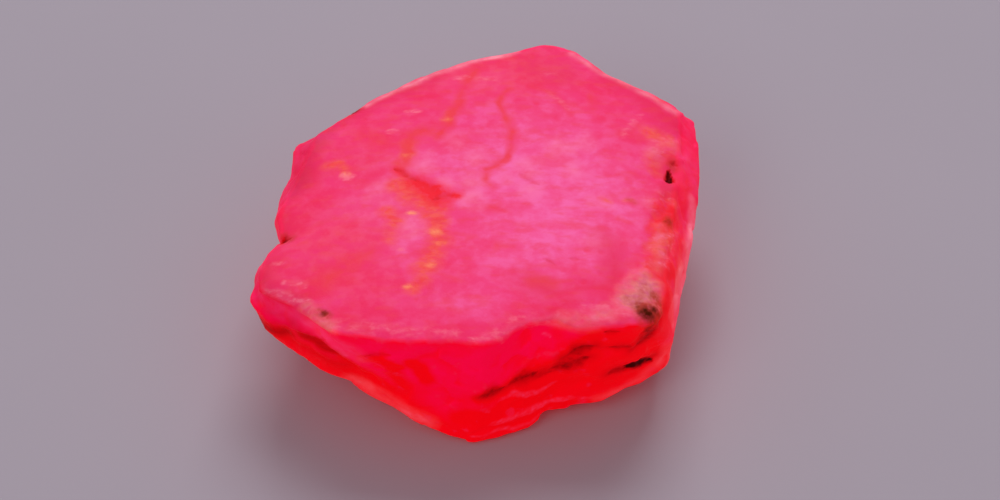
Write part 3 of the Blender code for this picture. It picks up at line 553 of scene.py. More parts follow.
class RubySettings(bpy.types.PropertyGroup):
    """The stone's grid, the strength of its fine relief, and the colours of its skin, painted light among them.
    """

    top_cells: IntProperty(
        name="Top cells", description="Cells along each side of the top face's grid",
        default=172, min=16, max=190)
    side_rows: IntProperty(
        name="Side rows", description="Rows of cells from one ring of the side to the next",
        default=22, min=4)
    base_rows: IntProperty(
        name="Base rows", description="Rows of cells across the resting face",
        default=14, min=3)
    pit_depth: FloatProperty(
        name="Pit depth", description="How deep the small pits of the skin are",
        default=0.00005, precision=6, unit="LENGTH")
    hackle_height: FloatProperty(
        name="Hackle height", description="How far the fracture ridges of the sides stand out",
        default=0.00006, precision=6, unit="LENGTH")
    grain_height: FloatProperty(
        name="Grain height", description="How far the finest lumps of the skin stand out",
        default=0.00002, precision=6, unit="LENGTH")
    pink: colour_setting("Pink", "Colour of the frosted skin of the top", (0.38, 0.038, 0.172))
    # Lilac is also a painted sheen: on the top's frost clouds, the side's bevel and the near side's ridges
    lilac: colour_setting("Lilac", "Colour of the most frosted places", (0.43, 0.14, 0.4))
    haze: colour_setting("Haze", "Colour of the small puffs of thicker frost", (0.46, 0.19, 0.38))
    # Rose also serves as painted shade, in the top's hollows and dim places
    rose: colour_setting("Rose", "Colour of the places with the least frost", (0.36, 0.021, 0.07))
    crimson: colour_setting("Crimson", "Colour of the broken sides", (0.5, 0.003, 0.1))
    # Deep red is partly the stone's red and partly painted shade in the near side's hollows and cracks
    deep_red: colour_setting("Deep red", "Colour down in the hollows", (0.5, 0.001, 0.004))
    orange: colour_setting("Orange", "Colour of the stains", (0.42, 0.11, 0.085))
    rust: colour_setting("Rust", "Colour of the healed cracks", (0.36, 0.05, 0.07))
    yellow: colour_setting("Yellow", "Colour of the small ochre spots", (0.52, 0.33, 0.15))
    chalk: colour_setting("Chalk", "Colour of the pale crust", (0.47, 0.21, 0.22))
    fleck: colour_setting("Fleck", "Colour of the palest flecks and spots", (0.46, 0.17, 0.27))
    # A painted rim highlight, laid along the outline's far rim, right edge and foot
    rim_highlight_tint: colour_setting("Rime", "Colour of the pale frost along the edges", (0.55, 0.43, 0.52))
    gash: colour_setting("Gash", "Colour of the cleft and of the edge's red places", (0.41, 0.022, 0.04))
    brown: colour_setting("Brown", "Colour round the nicks and in the crust's dirt", (0.2, 0.04, 0.012))
    umber: colour_setting("Umber", "Colour of the dark grains", (0.04, 0.008, 0.002))
    # Maroon is painted shade, down in the open cracks and the near side's shaded hollows
    maroon: colour_setting("Maroon", "Colour down in the open cracks", (0.1, 0.001, 0.001))
    # Painted glow: an emitted red standing in for light shone up through the stone, which is no lamp
    glow: colour_setting("Glow", "Light that comes out of the stone's body", (0.64, 0.0, 0.003))
    roughness: FloatProperty(
        name="Roughness", description="Mean roughness of the frosted skin",
        default=0.42, min=0.0, max=1.0, subtype="FACTOR")


class StudioSettings(bpy.types.PropertyGroup):
    """The floor, the lights and the camera."""

    floor_radius: FloatProperty(
        name="Floor radius", description="How far the floor reaches", default=3.0, unit="LENGTH")
    floor_colour: colour_setting("Floor colour", "Colour of the plain floor", (0.36, 0.325, 0.37))
    sky_colour: colour_setting("Surround colour", "Colour of the light from all round", (0.43, 0.4, 0.43))
    key_power: FloatProperty(
        name="Key power", description="Power of the soft light behind the stone, in watts", default=0.9)
    fill_power: FloatProperty(
        name="Fill power", description="Power of the soft light in front, in watts", default=0.3)
    camera_distance: FloatProperty(
        name="Camera distance", description="From the camera to the middle of the stone",
        default=0.15, unit="LENGTH")
    camera_height: FloatProperty(
        name="Camera height", description="Angle of the view above the floor",
        default=np.radians(45.0), subtype="ANGLE")
    lens: FloatProperty(name="Lens", description="Focal length of the camera", default=135.0, unit="CAMERA")


def net_rings():
    """The net's rings as an array of corners: top middle, top edge, girdle, keel, foot and base middle."""
    edge, girdle, keel = (np.array([corner[place] for corner in CORNERS]) for place in (1, 2, 3))
    reach = np.array([corner[4] for corner in CORNERS])[:, None]
    foot = np.zeros_like(keel)
    foot[:, :2] = CENTRE + reach * (keel[:, :2] - CENTRE)
    top = np.tile((*CENTRE, TOP_HEIGHT), (len(CORNERS), 1))
    base = np.tile((*CENTRE, 0.0), (len(CORNERS), 1))
    return np.stack([top, edge, girdle, keel, foot, base])


def corner_places():
    """Where each corner is along the girdle, from 0 at the first one to 1 back at it, and its length."""
    girdle = net_rings()[2]
    steps = np.linalg.norm(np.roll(girdle, -1, axis=0) - girdle, axis=1)
    return np.concatenate([[0.0], np.cumsum(steps)]) / steps.sum(), steps.sum()


def on_net(around, down):
    """Points of the net: straight from corner to corner round a ring, and straight down from ring to ring.

    Only the top face is curved: its height falls from the middle by a power of the way out, so it stays flat
    over most of its width.
    """
    rings = net_rings()
    places, _ = corner_places()
    around = np.mod(around, 1.0)
    corner = np.clip(np.searchsorted(places, around, side="right") - 1, 0, len(CORNERS) - 1)
    after = (corner + 1) % len(CORNERS)
    along = ((around - places[corner]) / (places[corner + 1] - places[corner]))[:, None]
    ring = np.clip(down.astype(int), 0, len(rings) - 2)
    upper = rings[ring, corner] * (1 - along) + rings[ring, after] * along
    lower = rings[ring + 1, corner] * (1 - along) + rings[ring + 1, after] * along
    part = (down - ring)[:, None]
    fall = np.where(ring[:, None] == 0, part ** TOP_FLATNESS, part)
    plan = upper[:, :2] * (1 - part) + lower[:, :2] * part
    height = upper[:, 2:] * (1 - fall) + lower[:, 2:] * fall
    return np.concatenate([plan, height], axis=1)


def soft_net(around, down):
    """The net with its edges rounded: each point is the net's weighted mean over a small window round it."""
    weights = (1, 4, 6, 4, 1)
    _, length = corner_places()
    shrink = np.clip(2 * np.minimum(down, BASE_MIDDLE - down), 0.0, 1.0)
    points = np.zeros((len(around), 3))
    for i, weight_i in enumerate(weights):
        for j, weight_j in enumerate(weights):
            sideways = (i / 2 - 1) * EDGE_SOFTNESS / length
            downwards = (j / 2 - 1) * LEVEL_SOFTNESS * shrink
            points += weight_i * weight_j * on_net(around + sideways, down + downwards)
    return points / sum(weights) ** 2


def top_square(cells):
    """A square of cells for the top face: each vertex's place around and down the stone, the cells, the edge.

    Down is 0 in the middle and 1 on the square's edge. Around is how far along that edge the vertex lies.
    Each cell is split so that no triangle has two sides along the edge.
    """
    line = np.linspace(-1, 1, cells + 1)
    a, b = np.meshgrid(line, line, indexing="ij")
    down = np.maximum(np.abs(a), np.abs(b))
    s, t = a / np.maximum(down, 1e-9), b / np.maximum(down, 1e-9)
    on_edge = 1 - 1e-6
    choices = [(s + 1) / 8, (3 - t) / 8, (5 - s) / 8]
    around = np.select([t >= on_edge, s >= on_edge, t <= -on_edge], choices, (7 + t) / 8)
    index = np.arange((cells + 1) ** 2).reshape(cells + 1, cells + 1)
    quads = np.stack([index[:-1, :-1], index[1:, :-1], index[1:, 1:], index[:-1, 1:]], axis=-1)
    middle = line[:-1] + line[1:]
    rising = np.multiply.outer(middle, middle)[..., None] > 0
    quads = np.where(rising, quads, np.roll(quads, 1, axis=-1)).reshape(-1, 4)
    edge = np.concatenate([index[:-1, -1], index[-1, :0:-1], index[:0:-1, 0], index[0, :-1]])
    return around.reshape(-1), down.reshape(-1), quads, edge


def stone_grid(cells, side_rows, base_rows):
    """A closed grid: the top's square, rows down the side, and rings in to one vertex in the base's middle.

    It gives each vertex's place around the stone, from 0 to 1, and down it, and the triangles. Vertices are
    moved a little along their ring so that each corner of the net has one.
    """
    around, down, quads, upper = top_square(cells)
    count = 4 * cells
    bands = [ring + np.arange(1, rows + 1) / rows for ring, rows in enumerate((*side_rows, base_rows), 1)]
    levels = np.concatenate(bands)[:-1]
    all_quads, total = [quads], len(around)
    for _ in levels:
        lower = total + np.arange(count)
        all_quads.append(np.stack([upper, np.roll(upper, -1), np.roll(lower, -1), lower], axis=-1))
        upper, total = lower, total + count
    fan = np.stack([upper, np.roll(upper, -1), np.full(count, total)], axis=-1)
    around = np.concatenate([around, np.tile(np.arange(count) / count, len(levels)), [0.0]])
    down = np.concatenate([down, np.repeat(levels, count), [BASE_MIDDLE]])
    places, _ = corner_places()
    around = np.interp(around * count, np.round(places * count), places)
    quads = np.concatenate(all_quads)
    return around, down, np.concatenate([quads[:, [0, 1, 2]], quads[:, [0, 2, 3]], fan])


def ease(limits, values):
    """0 below the first limit, 1 above the second and a smooth rise between them."""
    part = np.clip((values - limits[0]) / (limits[1] - limits[0]), 0.0, 1.0)
    return part * part * (3 - 2 * part)


def fade(limits, values):
    """The other way round: 1 below the first limit, 0 above the second."""
    return 1 - ease(limits, values)


def scatter(nodes, seed):
    """One fixed number from -1 to 1 for each lattice node, mixed from its whole coordinates and the seed."""
    mixed = (nodes * NODE_FACTORS).sum(-1) + seed * SEED_FACTOR
    for shift, factor in MIXING_TURNS:
        mixed = (mixed ^ (mixed >> shift)) * factor & 0xFFFFFFFF
    return (mixed & 0xFFFF) / 32767.5 - 1.0


def smooth_noise(points, size, seed):
    """Noise from -1 to 1: a fixed number at each node of a cubic lattice, eased from node to node."""
    cell = np.floor(points / size).astype(np.int64)
    part = ease((0.0, 1.0), points / size - cell)
    total = np.zeros(len(points))
    for corner in np.ndindex(2, 2, 2):
        total += scatter(cell + corner, seed) * np.where(corner, part, 1 - part).prod(-1)
    return total


def broken_facets(points, size, seed, crispness):
    """Tilted facets: each scattered centre has a plane of its own, and planes blend where centres meet."""
    cell = np.floor(points / size).astype(np.int64)
    height, total = np.zeros(len(points)), np.zeros(len(points))
    for offset in np.ndindex(3, 3, 3):
        node = cell + np.array(offset) - 1
        jitter = np.stack([scatter(node, seed + axis) for axis in range(3)], axis=-1)
        slope = np.stack([scatter(node, seed + 3 + axis) for axis in range(3)], axis=-1)
        away = points / size - (node + 0.5 + CENTRE_SCATTER * jitter)
        weight = np.exp(-crispness * (away ** 2).sum(-1))
        height += weight * (slope * away).sum(-1)
        total += weight
    return height / total


def nearness(places, path, width, taper=0.0):
    """1 on a path of straight pieces in the plane, falling evenly to 0 at a width to either side of it.

    The width shrinks by the share taper from the path's middle to its ends.
    """
    corners = np.array(path)
    lengths = np.linalg.norm(np.diff(corners, axis=0), axis=1)
    nearest, along = np.full(len(places), np.inf), np.zeros(len(places))
    for start, end, before, length in zip(corners, corners[1:], np.cumsum(lengths) - lengths, lengths):
        run = end - start
        share = np.clip((places - start) @ run / (run @ run), 0.0, 1.0)
        away = np.linalg.norm(places - start - share[:, None] * run, axis=1)
        along = np.where(away < nearest, (before + share * length) / lengths.sum(), along)
        nearest = np.minimum(nearest, away)
    return np.clip(1 - nearest / (width * (1 - taper * (2 * along - 1) ** 2)), 0.0, 1.0)


def raised_places(points):
    """The crust and the crumbled edge, by their places in plan."""
    plan = points[:, :2]
    relief = CRUST_HEIGHT * ease(CRUST_RISE, nearness(plan, CRUST, CRUST_WIDTH))
    crumbs = smooth_noise(points, CRUMB_SIZE, CRUMB_SEED)
    return relief + CRUMB_HEIGHT * crumbs * ease(CRUMB_RISE, nearness(plan, CRUMBLED_EDGE, CRUMBLED_WIDTH))


def skin_relief(points, down):
    """How far the skin stands out from the soft net: swells, lumps, facets, the crust and its crumbs."""
    side = ease(SIDE_STARTS, down)
    roughness = TOP_ROUGHNESS + (1 - TOP_ROUGHNESS) * side
    relief = SWELL_HEIGHT * smooth_noise(points, SWELL_SIZE, SWELL_SEED) * roughness
    relief += LUMP_HEIGHT * smooth_noise(points, LUMP_SIZE, LUMP_SEED) * roughness
    relief += FACET_HEIGHT * broken_facets(points, FACET_SIZE, FACET_SEED, FACET_CRISPNESS) * side
    relief += SPLINTER_HEIGHT * broken_facets(points, SPLINTER_SIZE, SPLINTER_SEED, SPLINTER_CRISPNESS) * side
    relief += raised_places(points) * fade(TOP_RELIEF_ENDS, down)
    return relief * fade(RELIEF_ENDS, down)


def outward(points, faces):
    """Each vertex's outward direction: the mean of its faces' normals, larger faces counting more."""
    corners = points[faces]
    across = np.cross(corners[:, 1] - corners[:, 0], corners[:, 2] - corners[:, 0])
    normals = np.stack([
        sum(np.bincount(faces[:, place], across[:, column], len(points)) for place in range(3))
        for column in range(3)], axis=-1)
    return normals / np.linalg.norm(normals, axis=1)[:, None]


def neighbour_mean(values, faces):
    """Each vertex's mean of the values at the vertices that it shares a triangle with."""
    total, count = np.zeros_like(values), np.zeros(len(values))
    for start, end in ((0, 1), (1, 2), (2, 0), (1, 0), (2, 1), (0, 2)):
        count += np.bincount(faces[:, start], minlength=len(values))
        for column in range(values.shape[1]):
            total[:, column] += np.bincount(faces[:, start], values[faces[:, end], column], len(values))
    return total / count[:, None]


def layered_noise(points, size, seed, layers):
    """Noise from -1 to 1 in layers, each half the size and half the strength of the one before."""
    total = np.zeros(len(points))
    for layer in range(layers):
        total += smooth_noise(points, size / 2 ** layer, seed + layer) / 2 ** layer
    return total / (2 - 2 ** (1 - layers))


def ragged(points, size, reach, seed):
    """The points pushed about by noise, so that a straight path measured from them comes out ragged."""
    shift = np.stack([layered_noise(points, size, seed + 10 * axis, 2) for axis in range(3)], axis=-1)
    return points + reach * shift


def torn_places(points):
    """The points made a little ragged, and the points made fully ragged by the same noise."""
    return [ragged(points, RAGGED_SIZE, reach, RAGGED_SEED) for reach in (WAVY_REACH, RAGGED_REACH)]


def on_near_side(points):
    """1 on the near side and 0 away from it, by how far to the near the points are."""
    return ease((NEAR_SIDE_FROM, NEAR_SIDE_FULL), -points[:, 1])


def scattered_pits(points, cell, seed):
    """Round pits, one near the middle of each cell of a cubic lattice, each with a radius of its own.

    The widest is 1 at its bottom, and each falls to 0 at its edge by 1 less the square of the way out.
    """
    home = np.floor(points / cell).astype(np.int64)
    deepest = np.zeros(len(points))
    for offset in np.ndindex(3, 3, 3):
        node = home + np.array(offset) - 1
        jitter = np.stack([scatter(node, seed + axis) for axis in range(3)], axis=-1)
        radius = cell * (PIT_RADIUS + PIT_RADIUS_SPREAD * scatter(node, seed + 3))
        away = np.linalg.norm(points - (node + 0.5 + PIT_SCATTER * jitter) * cell, axis=-1)
        depth = np.clip(1 - (away / radius) ** 2, 0.0, 1.0) * radius / (PIT_RADIUS_MOST * cell)
        deepest = np.maximum(deepest, depth)
    return deepest


def striae(points, seed):
    """Growth lines on a hexagonal face: three families of low saw teeth at 60 degrees, fading in and out."""
    total = np.zeros(len(points))
    for turn in range(3):
        angle = np.radians(STRIA_TURN + STRIA_FAMILY_TURN * turn)
        run = points[:, :2] @ (np.cos(angle), np.sin(angle)) / STRIA_SPACING
        run = run + STRIA_BEND * smooth_noise(points, STRIA_BEND_SIZE, seed + turn)
        field = ease(STRIA_FIELD, smooth_noise(points, STRIA_FIELD_SIZE, seed + 5 + turn))
        total += np.abs(run - np.floor(run) - 0.5) * field
    return total


def marks(points, table, plane, taper=0.0):
    """The strongest of a table's paths at each point: its nearness times the row's last number."""
    places, strongest = points[:, plane], np.zeros(len(points))
    for _, path, width, *_, strength in table:
        strongest = np.maximum(strongest, strength * nearness(places, path, width, taper))
    return strongest


def spots(points, table, stretch=(1.0, 1.0)):
    """The strongest of a table's small spots at each point, by their places in plan, each with a stretch."""
    strongest = np.zeros(len(points))
    for _, place, radius, strength in table:
        away = np.linalg.norm((points[:, :2] - place) * stretch, axis=1) / radius
        strongest = np.maximum(strongest, strength * np.clip(1 - away, 0.0, 1.0))
    return strongest


def clouds(points, table):
    """The sum of a table's soft clouds, each falling off as a bell curve, by their places in plan."""
    total = np.zeros(len(points))
    for _, place, widths, strength in table:
        away = (points[:, :2] - place) / widths
        total += strength * np.exp(-(away ** 2).sum(-1))
    return total


def broken_back(across, up, line, drop):
    """A ledge seen from the front: 0 above its line, 1 just below it, then evenly back to 0 at the drop."""
    xs, ys = np.array(line).T
    below = np.interp(across, xs, ys) - up
    ends = ease((xs[0], xs[0] + LEDGE_ENDS), across) * fade((xs[-1] - LEDGE_ENDS, xs[-1]), across)
    return ease((0.0, LEDGE_LIP), below) * np.clip(1 - below / drop, 0.0, 1.0) * ends


def placed_relief(points, wavy, torn, near, top):
    """The ledges, ridges, cracks and healed cracks, each by its place on the near side or the top."""
    relief = np.zeros(len(points))
    for _, line, drop, depth in LEDGES:
        relief -= depth * broken_back(wavy[:, 0], wavy[:, 2], line, drop) * near
    for _, path, width, height, _ in SIDE_RIDGES:
        relief += height * nearness(torn[:, [0, 2]], path, width, CRACK_TAPER) * near
    for _, path, width, depth, _ in SIDE_CRACKS:
        relief -= depth * nearness(wavy[:, [0, 2]], path, width, CRACK_TAPER) * near
    for _, path, width, depth, _ in TOP_CRACKS:
        relief -= depth * nearness(torn[:, :2], path, width, CRACK_TAPER) * top
    for _, path, width, strength in VEINS:
        relief -= VEIN_DEPTH * strength * nearness(torn[:, :2], path, VEIN_WIDTH * width) * top
    return relief


def fine_relief(points, down, settings):
    """The finer skin: ledges, ridges and cracks by their places, then chips, crumbs, hackle and grain."""
    side, skin = ease(SIDE_STARTS, down), fade(FINE_RELIEF_ENDS, down)
    top = fade(TOP_MARKS_END, down)
    near = on_near_side(points) * ease(NEAR_RELIEF_STARTS, down)
    near = near * fade(RELIEF_ENDS, down)
    wavy, torn = torn_places(points)
    relief = placed_relief(points, wavy, torn, near, top)
    rim = 1 - np.abs(down - CHIPPED_RIM) / CHIPPED_REACH
    outlines = ragged(points, CHIP_OUTLINE_SIZE, CHIP_OUTLINE_REACH, CHIP_SEED + 20)
    relief -= CHIP_DEPTH * scattered_pits(outlines, CHIP_CELL, CHIP_SEED) * np.clip(rim, 0.0, 1.0)
    crumbs = ease(CRUMB_RISE, marks(torn, CRUSTED, [0, 1])) * top
    edge_crumbs = nearness(torn[:, :2], CRUMBLED_EDGE, CRUMB_FINE_WIDTH) * fade(TOP_RELIEF_ENDS, down)
    crumbs = np.maximum(crumbs, edge_crumbs)
    relief += CRUMB_FINE_HEIGHT * layered_noise(points, CRUMB_FINE_SIZE, CRUMB_FINE_SEED, 2) * crumbs
    hackle = 0.5 - np.abs(layered_noise(torn * HACKLE_STRETCH, HACKLE_SIZE, HACKLE_SEED, 3))
    hackle = hackle * (1 - HACKLE_CALM * nearness(points[:, [0, 2]], CALM_FACE, CALM_WIDTH) * near)
    relief += settings.hackle_height / MM * hackle * side * skin
    grain = layered_noise(points, GRAIN_SIZE, GRAIN_SEED, 3)
    relief += settings.grain_height / MM * grain * (0.5 + 0.5 * side) * skin
    pit_field = ease(PIT_FIELD, smooth_noise(points, PIT_FIELD_SIZE, PIT_SEED + 9))
    relief -= settings.pit_depth / MM * (scattered_pits(points, PIT_CELL, PIT_SEED) * pit_field)
    return relief + STRIA_HEIGHT * striae(points, STRIA_SEED) * top


def hollowness(points, normals, faces):
    """How far each vertex lies below the skin as smoothed over a few rounds, as a share of CAVITY_DEPTH."""
    smooth = points
    for _ in range(CAVITY_ROUNDS):
        smooth = neighbour_mean(smooth, faces)
    return np.clip(((smooth - points) * normals).sum(-1) / CAVITY_DEPTH, 0.0, 1.0)


def skin_masks(points, normals, down, faces):
    """What the stone's material colours by, from 0 up at every vertex, under the name of its attribute."""
    top = fade(TOP_COLOUR_ENDS, down)
    near = on_near_side(points) * ease(SIDE_COLOUR_STARTS, down)
    wavy, torn = torn_places(points)
    mottled = layered_noise(points, MOTTLE_SIZE, MOTTLE_SEED, 3)
    blotched = 1.2 + 0.6 * mottled
    frost = np.clip(clouds(points, FROST_AND_SHEEN_CLOUDS), 0.0, 1.0) * fade(FROST_AND_SHEEN_ENDS, down)
    cracks = np.maximum(marks(wavy, SIDE_CRACKS, [0, 2], CRACK_TAPER) * near,
                        marks(torn, TOP_CRACKS, [0, 1], CRACK_TAPER) * top)
    return {
        "rim": np.clip(down + RIM_WANDER * layered_noise(points, RIM_SIZE, RIM_SEED, 3), 0.0, 2.0) - 0.5,
        # frost and painted sheen of the top
        "frost": np.clip(frost * (1 + 0.5 * mottled), 0.0, 1.0),
        "blush": np.clip(marks(torn, BLUSHES, [0, 1]) * blotched, 0.0, 1.0) * top,
        # frost and painted sheen over the rim
        "bevel": np.clip(marks(torn, SIDE_FROST_AND_SHEEN, [0, 2]) * blotched, 0.0, 1.0) * near,
        # painted rim highlight along the outline
        "outer": np.maximum.reduce([
            marks(torn, FAR_RIM_HIGHLIGHTS, [0, 1]) * ease(FAR_RIM_HIGHLIGHT_STARTS, down),
            marks(torn, RIGHT_EDGE_HIGHLIGHTS, [0, 1]) * ease(RIGHT_EDGE_HIGHLIGHT_STARTS, down),
            marks(torn, FOOT_HIGHLIGHTS, [0, 2]) * near]),
        "vein": marks(torn, VEINS, [0, 1]) * top,
        "stain": marks(torn, STAINS, [0, 1]) * top,
        "crust": marks(torn, CRUSTED, [0, 1]) * top,
        "yellow": spots(torn, YELLOW_SPOTS, SPOT_STRETCH) * top,
        "pale": np.maximum(spots(torn, PALE_SPOTS, SPOT_STRETCH), marks(torn, PALE_STREAKS, [0, 1])) * top,
        "puff": spots(torn, PUFFS) * top,
        "brown": marks(torn, BROWNED, [0, 1]) * fade(BROWN_ENDS, down),
        "grain": spots(torn, DARK_GRAINS) * fade(GRAIN_ENDS, down),
        "fresh": ease(GLOW_BAND_EDGE, nearness(torn[:, :2], GLOW_BAND, GLOW_BAND_WIDTH)) * near,
        # painted shade: the deepest reds of the near side's hollows and creases
        "deep": marks(torn, DEEP_REDS, [0, 2]) * near,
        "calm": nearness(points[:, [0, 2]], CALM_FACE, CALM_WIDTH) * near,
        # painted highlight on the near side's ridges
        "ridge": marks(torn, SIDE_RIDGES, [0, 2], CRACK_TAPER) * near,
        # painted shade down in the open cracks and pits
        "crack": ease((0.0, 1.0), cracks),
        # painted shade of the near side
        "shade": ease((0.0, 1.0), marks(torn, SIDE_SHADES, [0, 2])) * near,
        "gash": marks(torn, GASHES, [0, 1]) * fade(GASH_ENDS, down),
        "mottled": marks(torn, MOTTLED, [0, 1]) * fade(MOTTLED_ENDS, down),
        "dim": marks(torn, DIM_PLACES, [0, 1]) * fade(DIM_ENDS, down),
        "warm": np.clip(clouds(points, WARM_CLOUDS), 0.0, 1.0),
        # painted shade: how far each vertex lies in a hollow, used to darken the colour there
        "hollow": hollowness(points, normals, faces),
    }


def mesh_object(name, points, faces, material):
    """A smooth-shaded mesh object with one material, its vertices in place and its object at the origin."""
    mesh = bpy.data.meshes.new(name)
    mesh.from_pydata(points, [], faces)
    mesh.materials.append(material)
    mesh.shade_smooth()
    piece = bpy.data.objects.new(name, mesh)
    bpy.context.scene.collection.objects.link(piece)
    return piece


def put(tree, kind, values=None, **settings):
    """A new node with its settings and its sockets' values. A value that is a socket is linked instead."""
    node = tree.nodes.new(kind)
    for name, value in settings.items():
        setattr(node, name, value)
    for key, value in (values or {}).items():
        if isinstance(value, bpy.types.NodeSocket):
            tree.links.new(value, node.inputs[key])
        else:
            node.inputs[key].default_value = value
    return node


def mottle_group():
    """Soft-edged patches: noise of a size in metres, spread from 0 at its low limit to 1 at its high one."""
    group = bpy.data.node_groups.new("mottle", "ShaderNodeTree")
    for name, default in (("Size", 0.001), ("Detail", 3.0), ("Low", 0.4), ("High", 0.6)):
        socket = group.interface.new_socket(name=name, in_out="INPUT", socket_type="NodeSocketFloat")
        socket.default_value = default
    group.interface.new_socket(name="Vector", in_out="INPUT", socket_type="NodeSocketVector")
    group.interface.new_socket(name="Mask", in_out="OUTPUT", socket_type="NodeSocketFloat")
    inside = group.nodes.new("NodeGroupInput").outputs
    scale = put(group, "ShaderNodeMath", {0: 1.0, 1: inside["Size"]}, operation="DIVIDE")
    noise = put(group, "ShaderNodeTexNoise",
                {"Vector": inside["Vector"], "Scale": scale.outputs[0], "Detail": inside["Detail"]})
    spread = put(group, "ShaderNodeMapRange",
                 {"Value": noise.outputs["Fac"], "From Min": inside["Low"], "From Max": inside["High"]})
    put(group, "NodeGroupOutput", {"Mask": spread.outputs["Result"]})
    return group


def mottle(tree, places, size, low, high, detail=3.0):
    """The mask of the mottle group, placed in a material with its own values."""
    group = bpy.data.node_groups.get("mottle") or mottle_group()
    values = {"Vector": places, "Size": size, "Detail": detail, "Low": low, "High": high}
    return put(tree, "ShaderNodeGroup", values, node_tree=group).outputs["Mask"]


def product(tree, *values):
    """The product of masks and numbers."""
    result = values[0]
    for value in values[1:]:
        result = put(tree, "ShaderNodeMath", {0: result, 1: value}, operation="MULTIPLY").outputs[0]
    return result


def between(tree, share, low, high):
    """A value that goes from low where the mask is 0 to high where it is 1."""
    return put(tree, "ShaderNodeMapRange", {"Value": share, "To Min": low, "To Max": high}).outputs["Result"]


def lay(tree, under, over, share):
    """One colour laid over another by a mask. A colour is a socket or its red, green and blue."""
    node = put(tree, "ShaderNodeMix", data_type="RGBA", clamp_factor=True)
    for place, value in ((0, share), (6, under), (7, over)):
        if isinstance(value, bpy.types.NodeSocket):
            tree.links.new(value, node.inputs[place])
        elif place == 0:
            node.inputs[place].default_value = value
        else:
            node.inputs[place].default_value = (*value, 1.0)
    return node.outputs[2]


def coat(tree, under, *layers):
    """Colours laid over one another in turn, each given with its mask."""
    for over, share in layers:
        under = lay(tree, under, over, share)
    return under


def torn_mask(tree, mask, noise, low, high, share):
    """A mask whose edge is broken up: the noise, from 0 to 1, strengthens or weakens it by up to the share.

    What comes of it is spread from 0 at the low limit to 1 at the high one.
    """
    torn = product(tree, mask, between(tree, noise, 1 - share, 1 + share))
    spread = put(tree, "ShaderNodeMapRange", {"Value": torn, "From Min": low, "From Max": high})
    return spread.outputs["Result"]


def skin_parts(tree, mask_names):
    """The masks and the noises that the stone's skin is made of, each by its name."""
    places = put(tree, "ShaderNodeTexCoord").outputs["Object"]
    turn = put(tree, "ShaderNodeMapping", {"Vector": places, "Rotation": DRAWN_TURN, "Scale": DRAWN_SCALE})
    parts = {}
    for name in mask_names:
        parts[name] = put(tree, "ShaderNodeAttribute", attribute_name=name).outputs["Fac"]
    for name, is_drawn, *values in SKIN_NOISES:
        parts[name] = mottle(tree, turn.outputs["Vector"] if is_drawn else places, *values)
    return SimpleNamespace(**parts)


def top_colour(tree, settings, skin):
    """The top: pink; lilac for frost and painted sheen; rose for thin frost and painted shade; rust and orange.
    """
    return coat(
        tree, settings.pink,
        (settings.rose, product(tree, skin.clouded, 0.4)),
        # frost and painted sheen
        (settings.lilac, product(tree, skin.frost, between(tree, skin.patchy, 0.5, 1.1))),
        (settings.lilac, product(tree, skin.puffed, between(tree, skin.frost, 0.15, 0.5))),
        (settings.lilac, product(tree, skin.streaked, 0.24)),
        (settings.rose, product(tree, skin.blush, between(tree, skin.patchy, 0.7, 1.0))),
        (settings.rose, product(tree, skin.shaded, 0.45)),
        # painted shade in the top's hollows
        (settings.rose, product(tree, skin.hollow, 0.5)),
        (settings.rust, product(tree, skin.flecked, 0.4)),
        (settings.orange, product(tree, skin.warm, between(tree, skin.patchy, 0.05, 0.3))),
        (settings.haze, torn_mask(tree, skin.puff, skin.patchy, 0.0, 1.4, 0.6)),
        # painted shade in the dim places
        (settings.rose, product(tree, skin.dim, 0.45)))


def side_colour(tree, settings, skin, top, fresh):
    """The sides: the top's skin, redder; deep reds in the glow band; painted shade, sheen and highlights."""
    calm = torn_mask(tree, skin.calm, skin.clouded, 0.0, 0.7, 0.4)
    bevel = torn_mask(tree, skin.bevel, skin.patchy, 0.0, 0.8, 0.6)
    ridge = torn_mask(tree, skin.ridge, skin.patchy, 0.1, 0.8, 0.6)
    broken = coat(
        tree, settings.deep_red,
        (settings.crimson, between(tree, calm, 0.04, 0.95)),
        # painted shade in the side's hollows
        (settings.deep_red, product(tree, skin.hollow, 0.6)),
        # painted shade in the near side's creases and furrows
        (settings.deep_red, torn_mask(tree, skin.deep, skin.patchy, 0.0, 0.5, 0.4)))
    return coat(
        tree, top,
        (settings.rose, product(tree, skin.shaded, 0.5)),
        (settings.crimson, product(tree, skin.clouded, 0.3)),
        (broken, fresh),
        # painted sheen on the bevel
        (settings.lilac, product(tree, bevel, between(tree, skin.streaked, 0.2, 0.5))),
        # painted highlight on the ridges
        (settings.lilac, product(tree, ridge, between(tree, skin.speckled, 0.1, 0.45))))


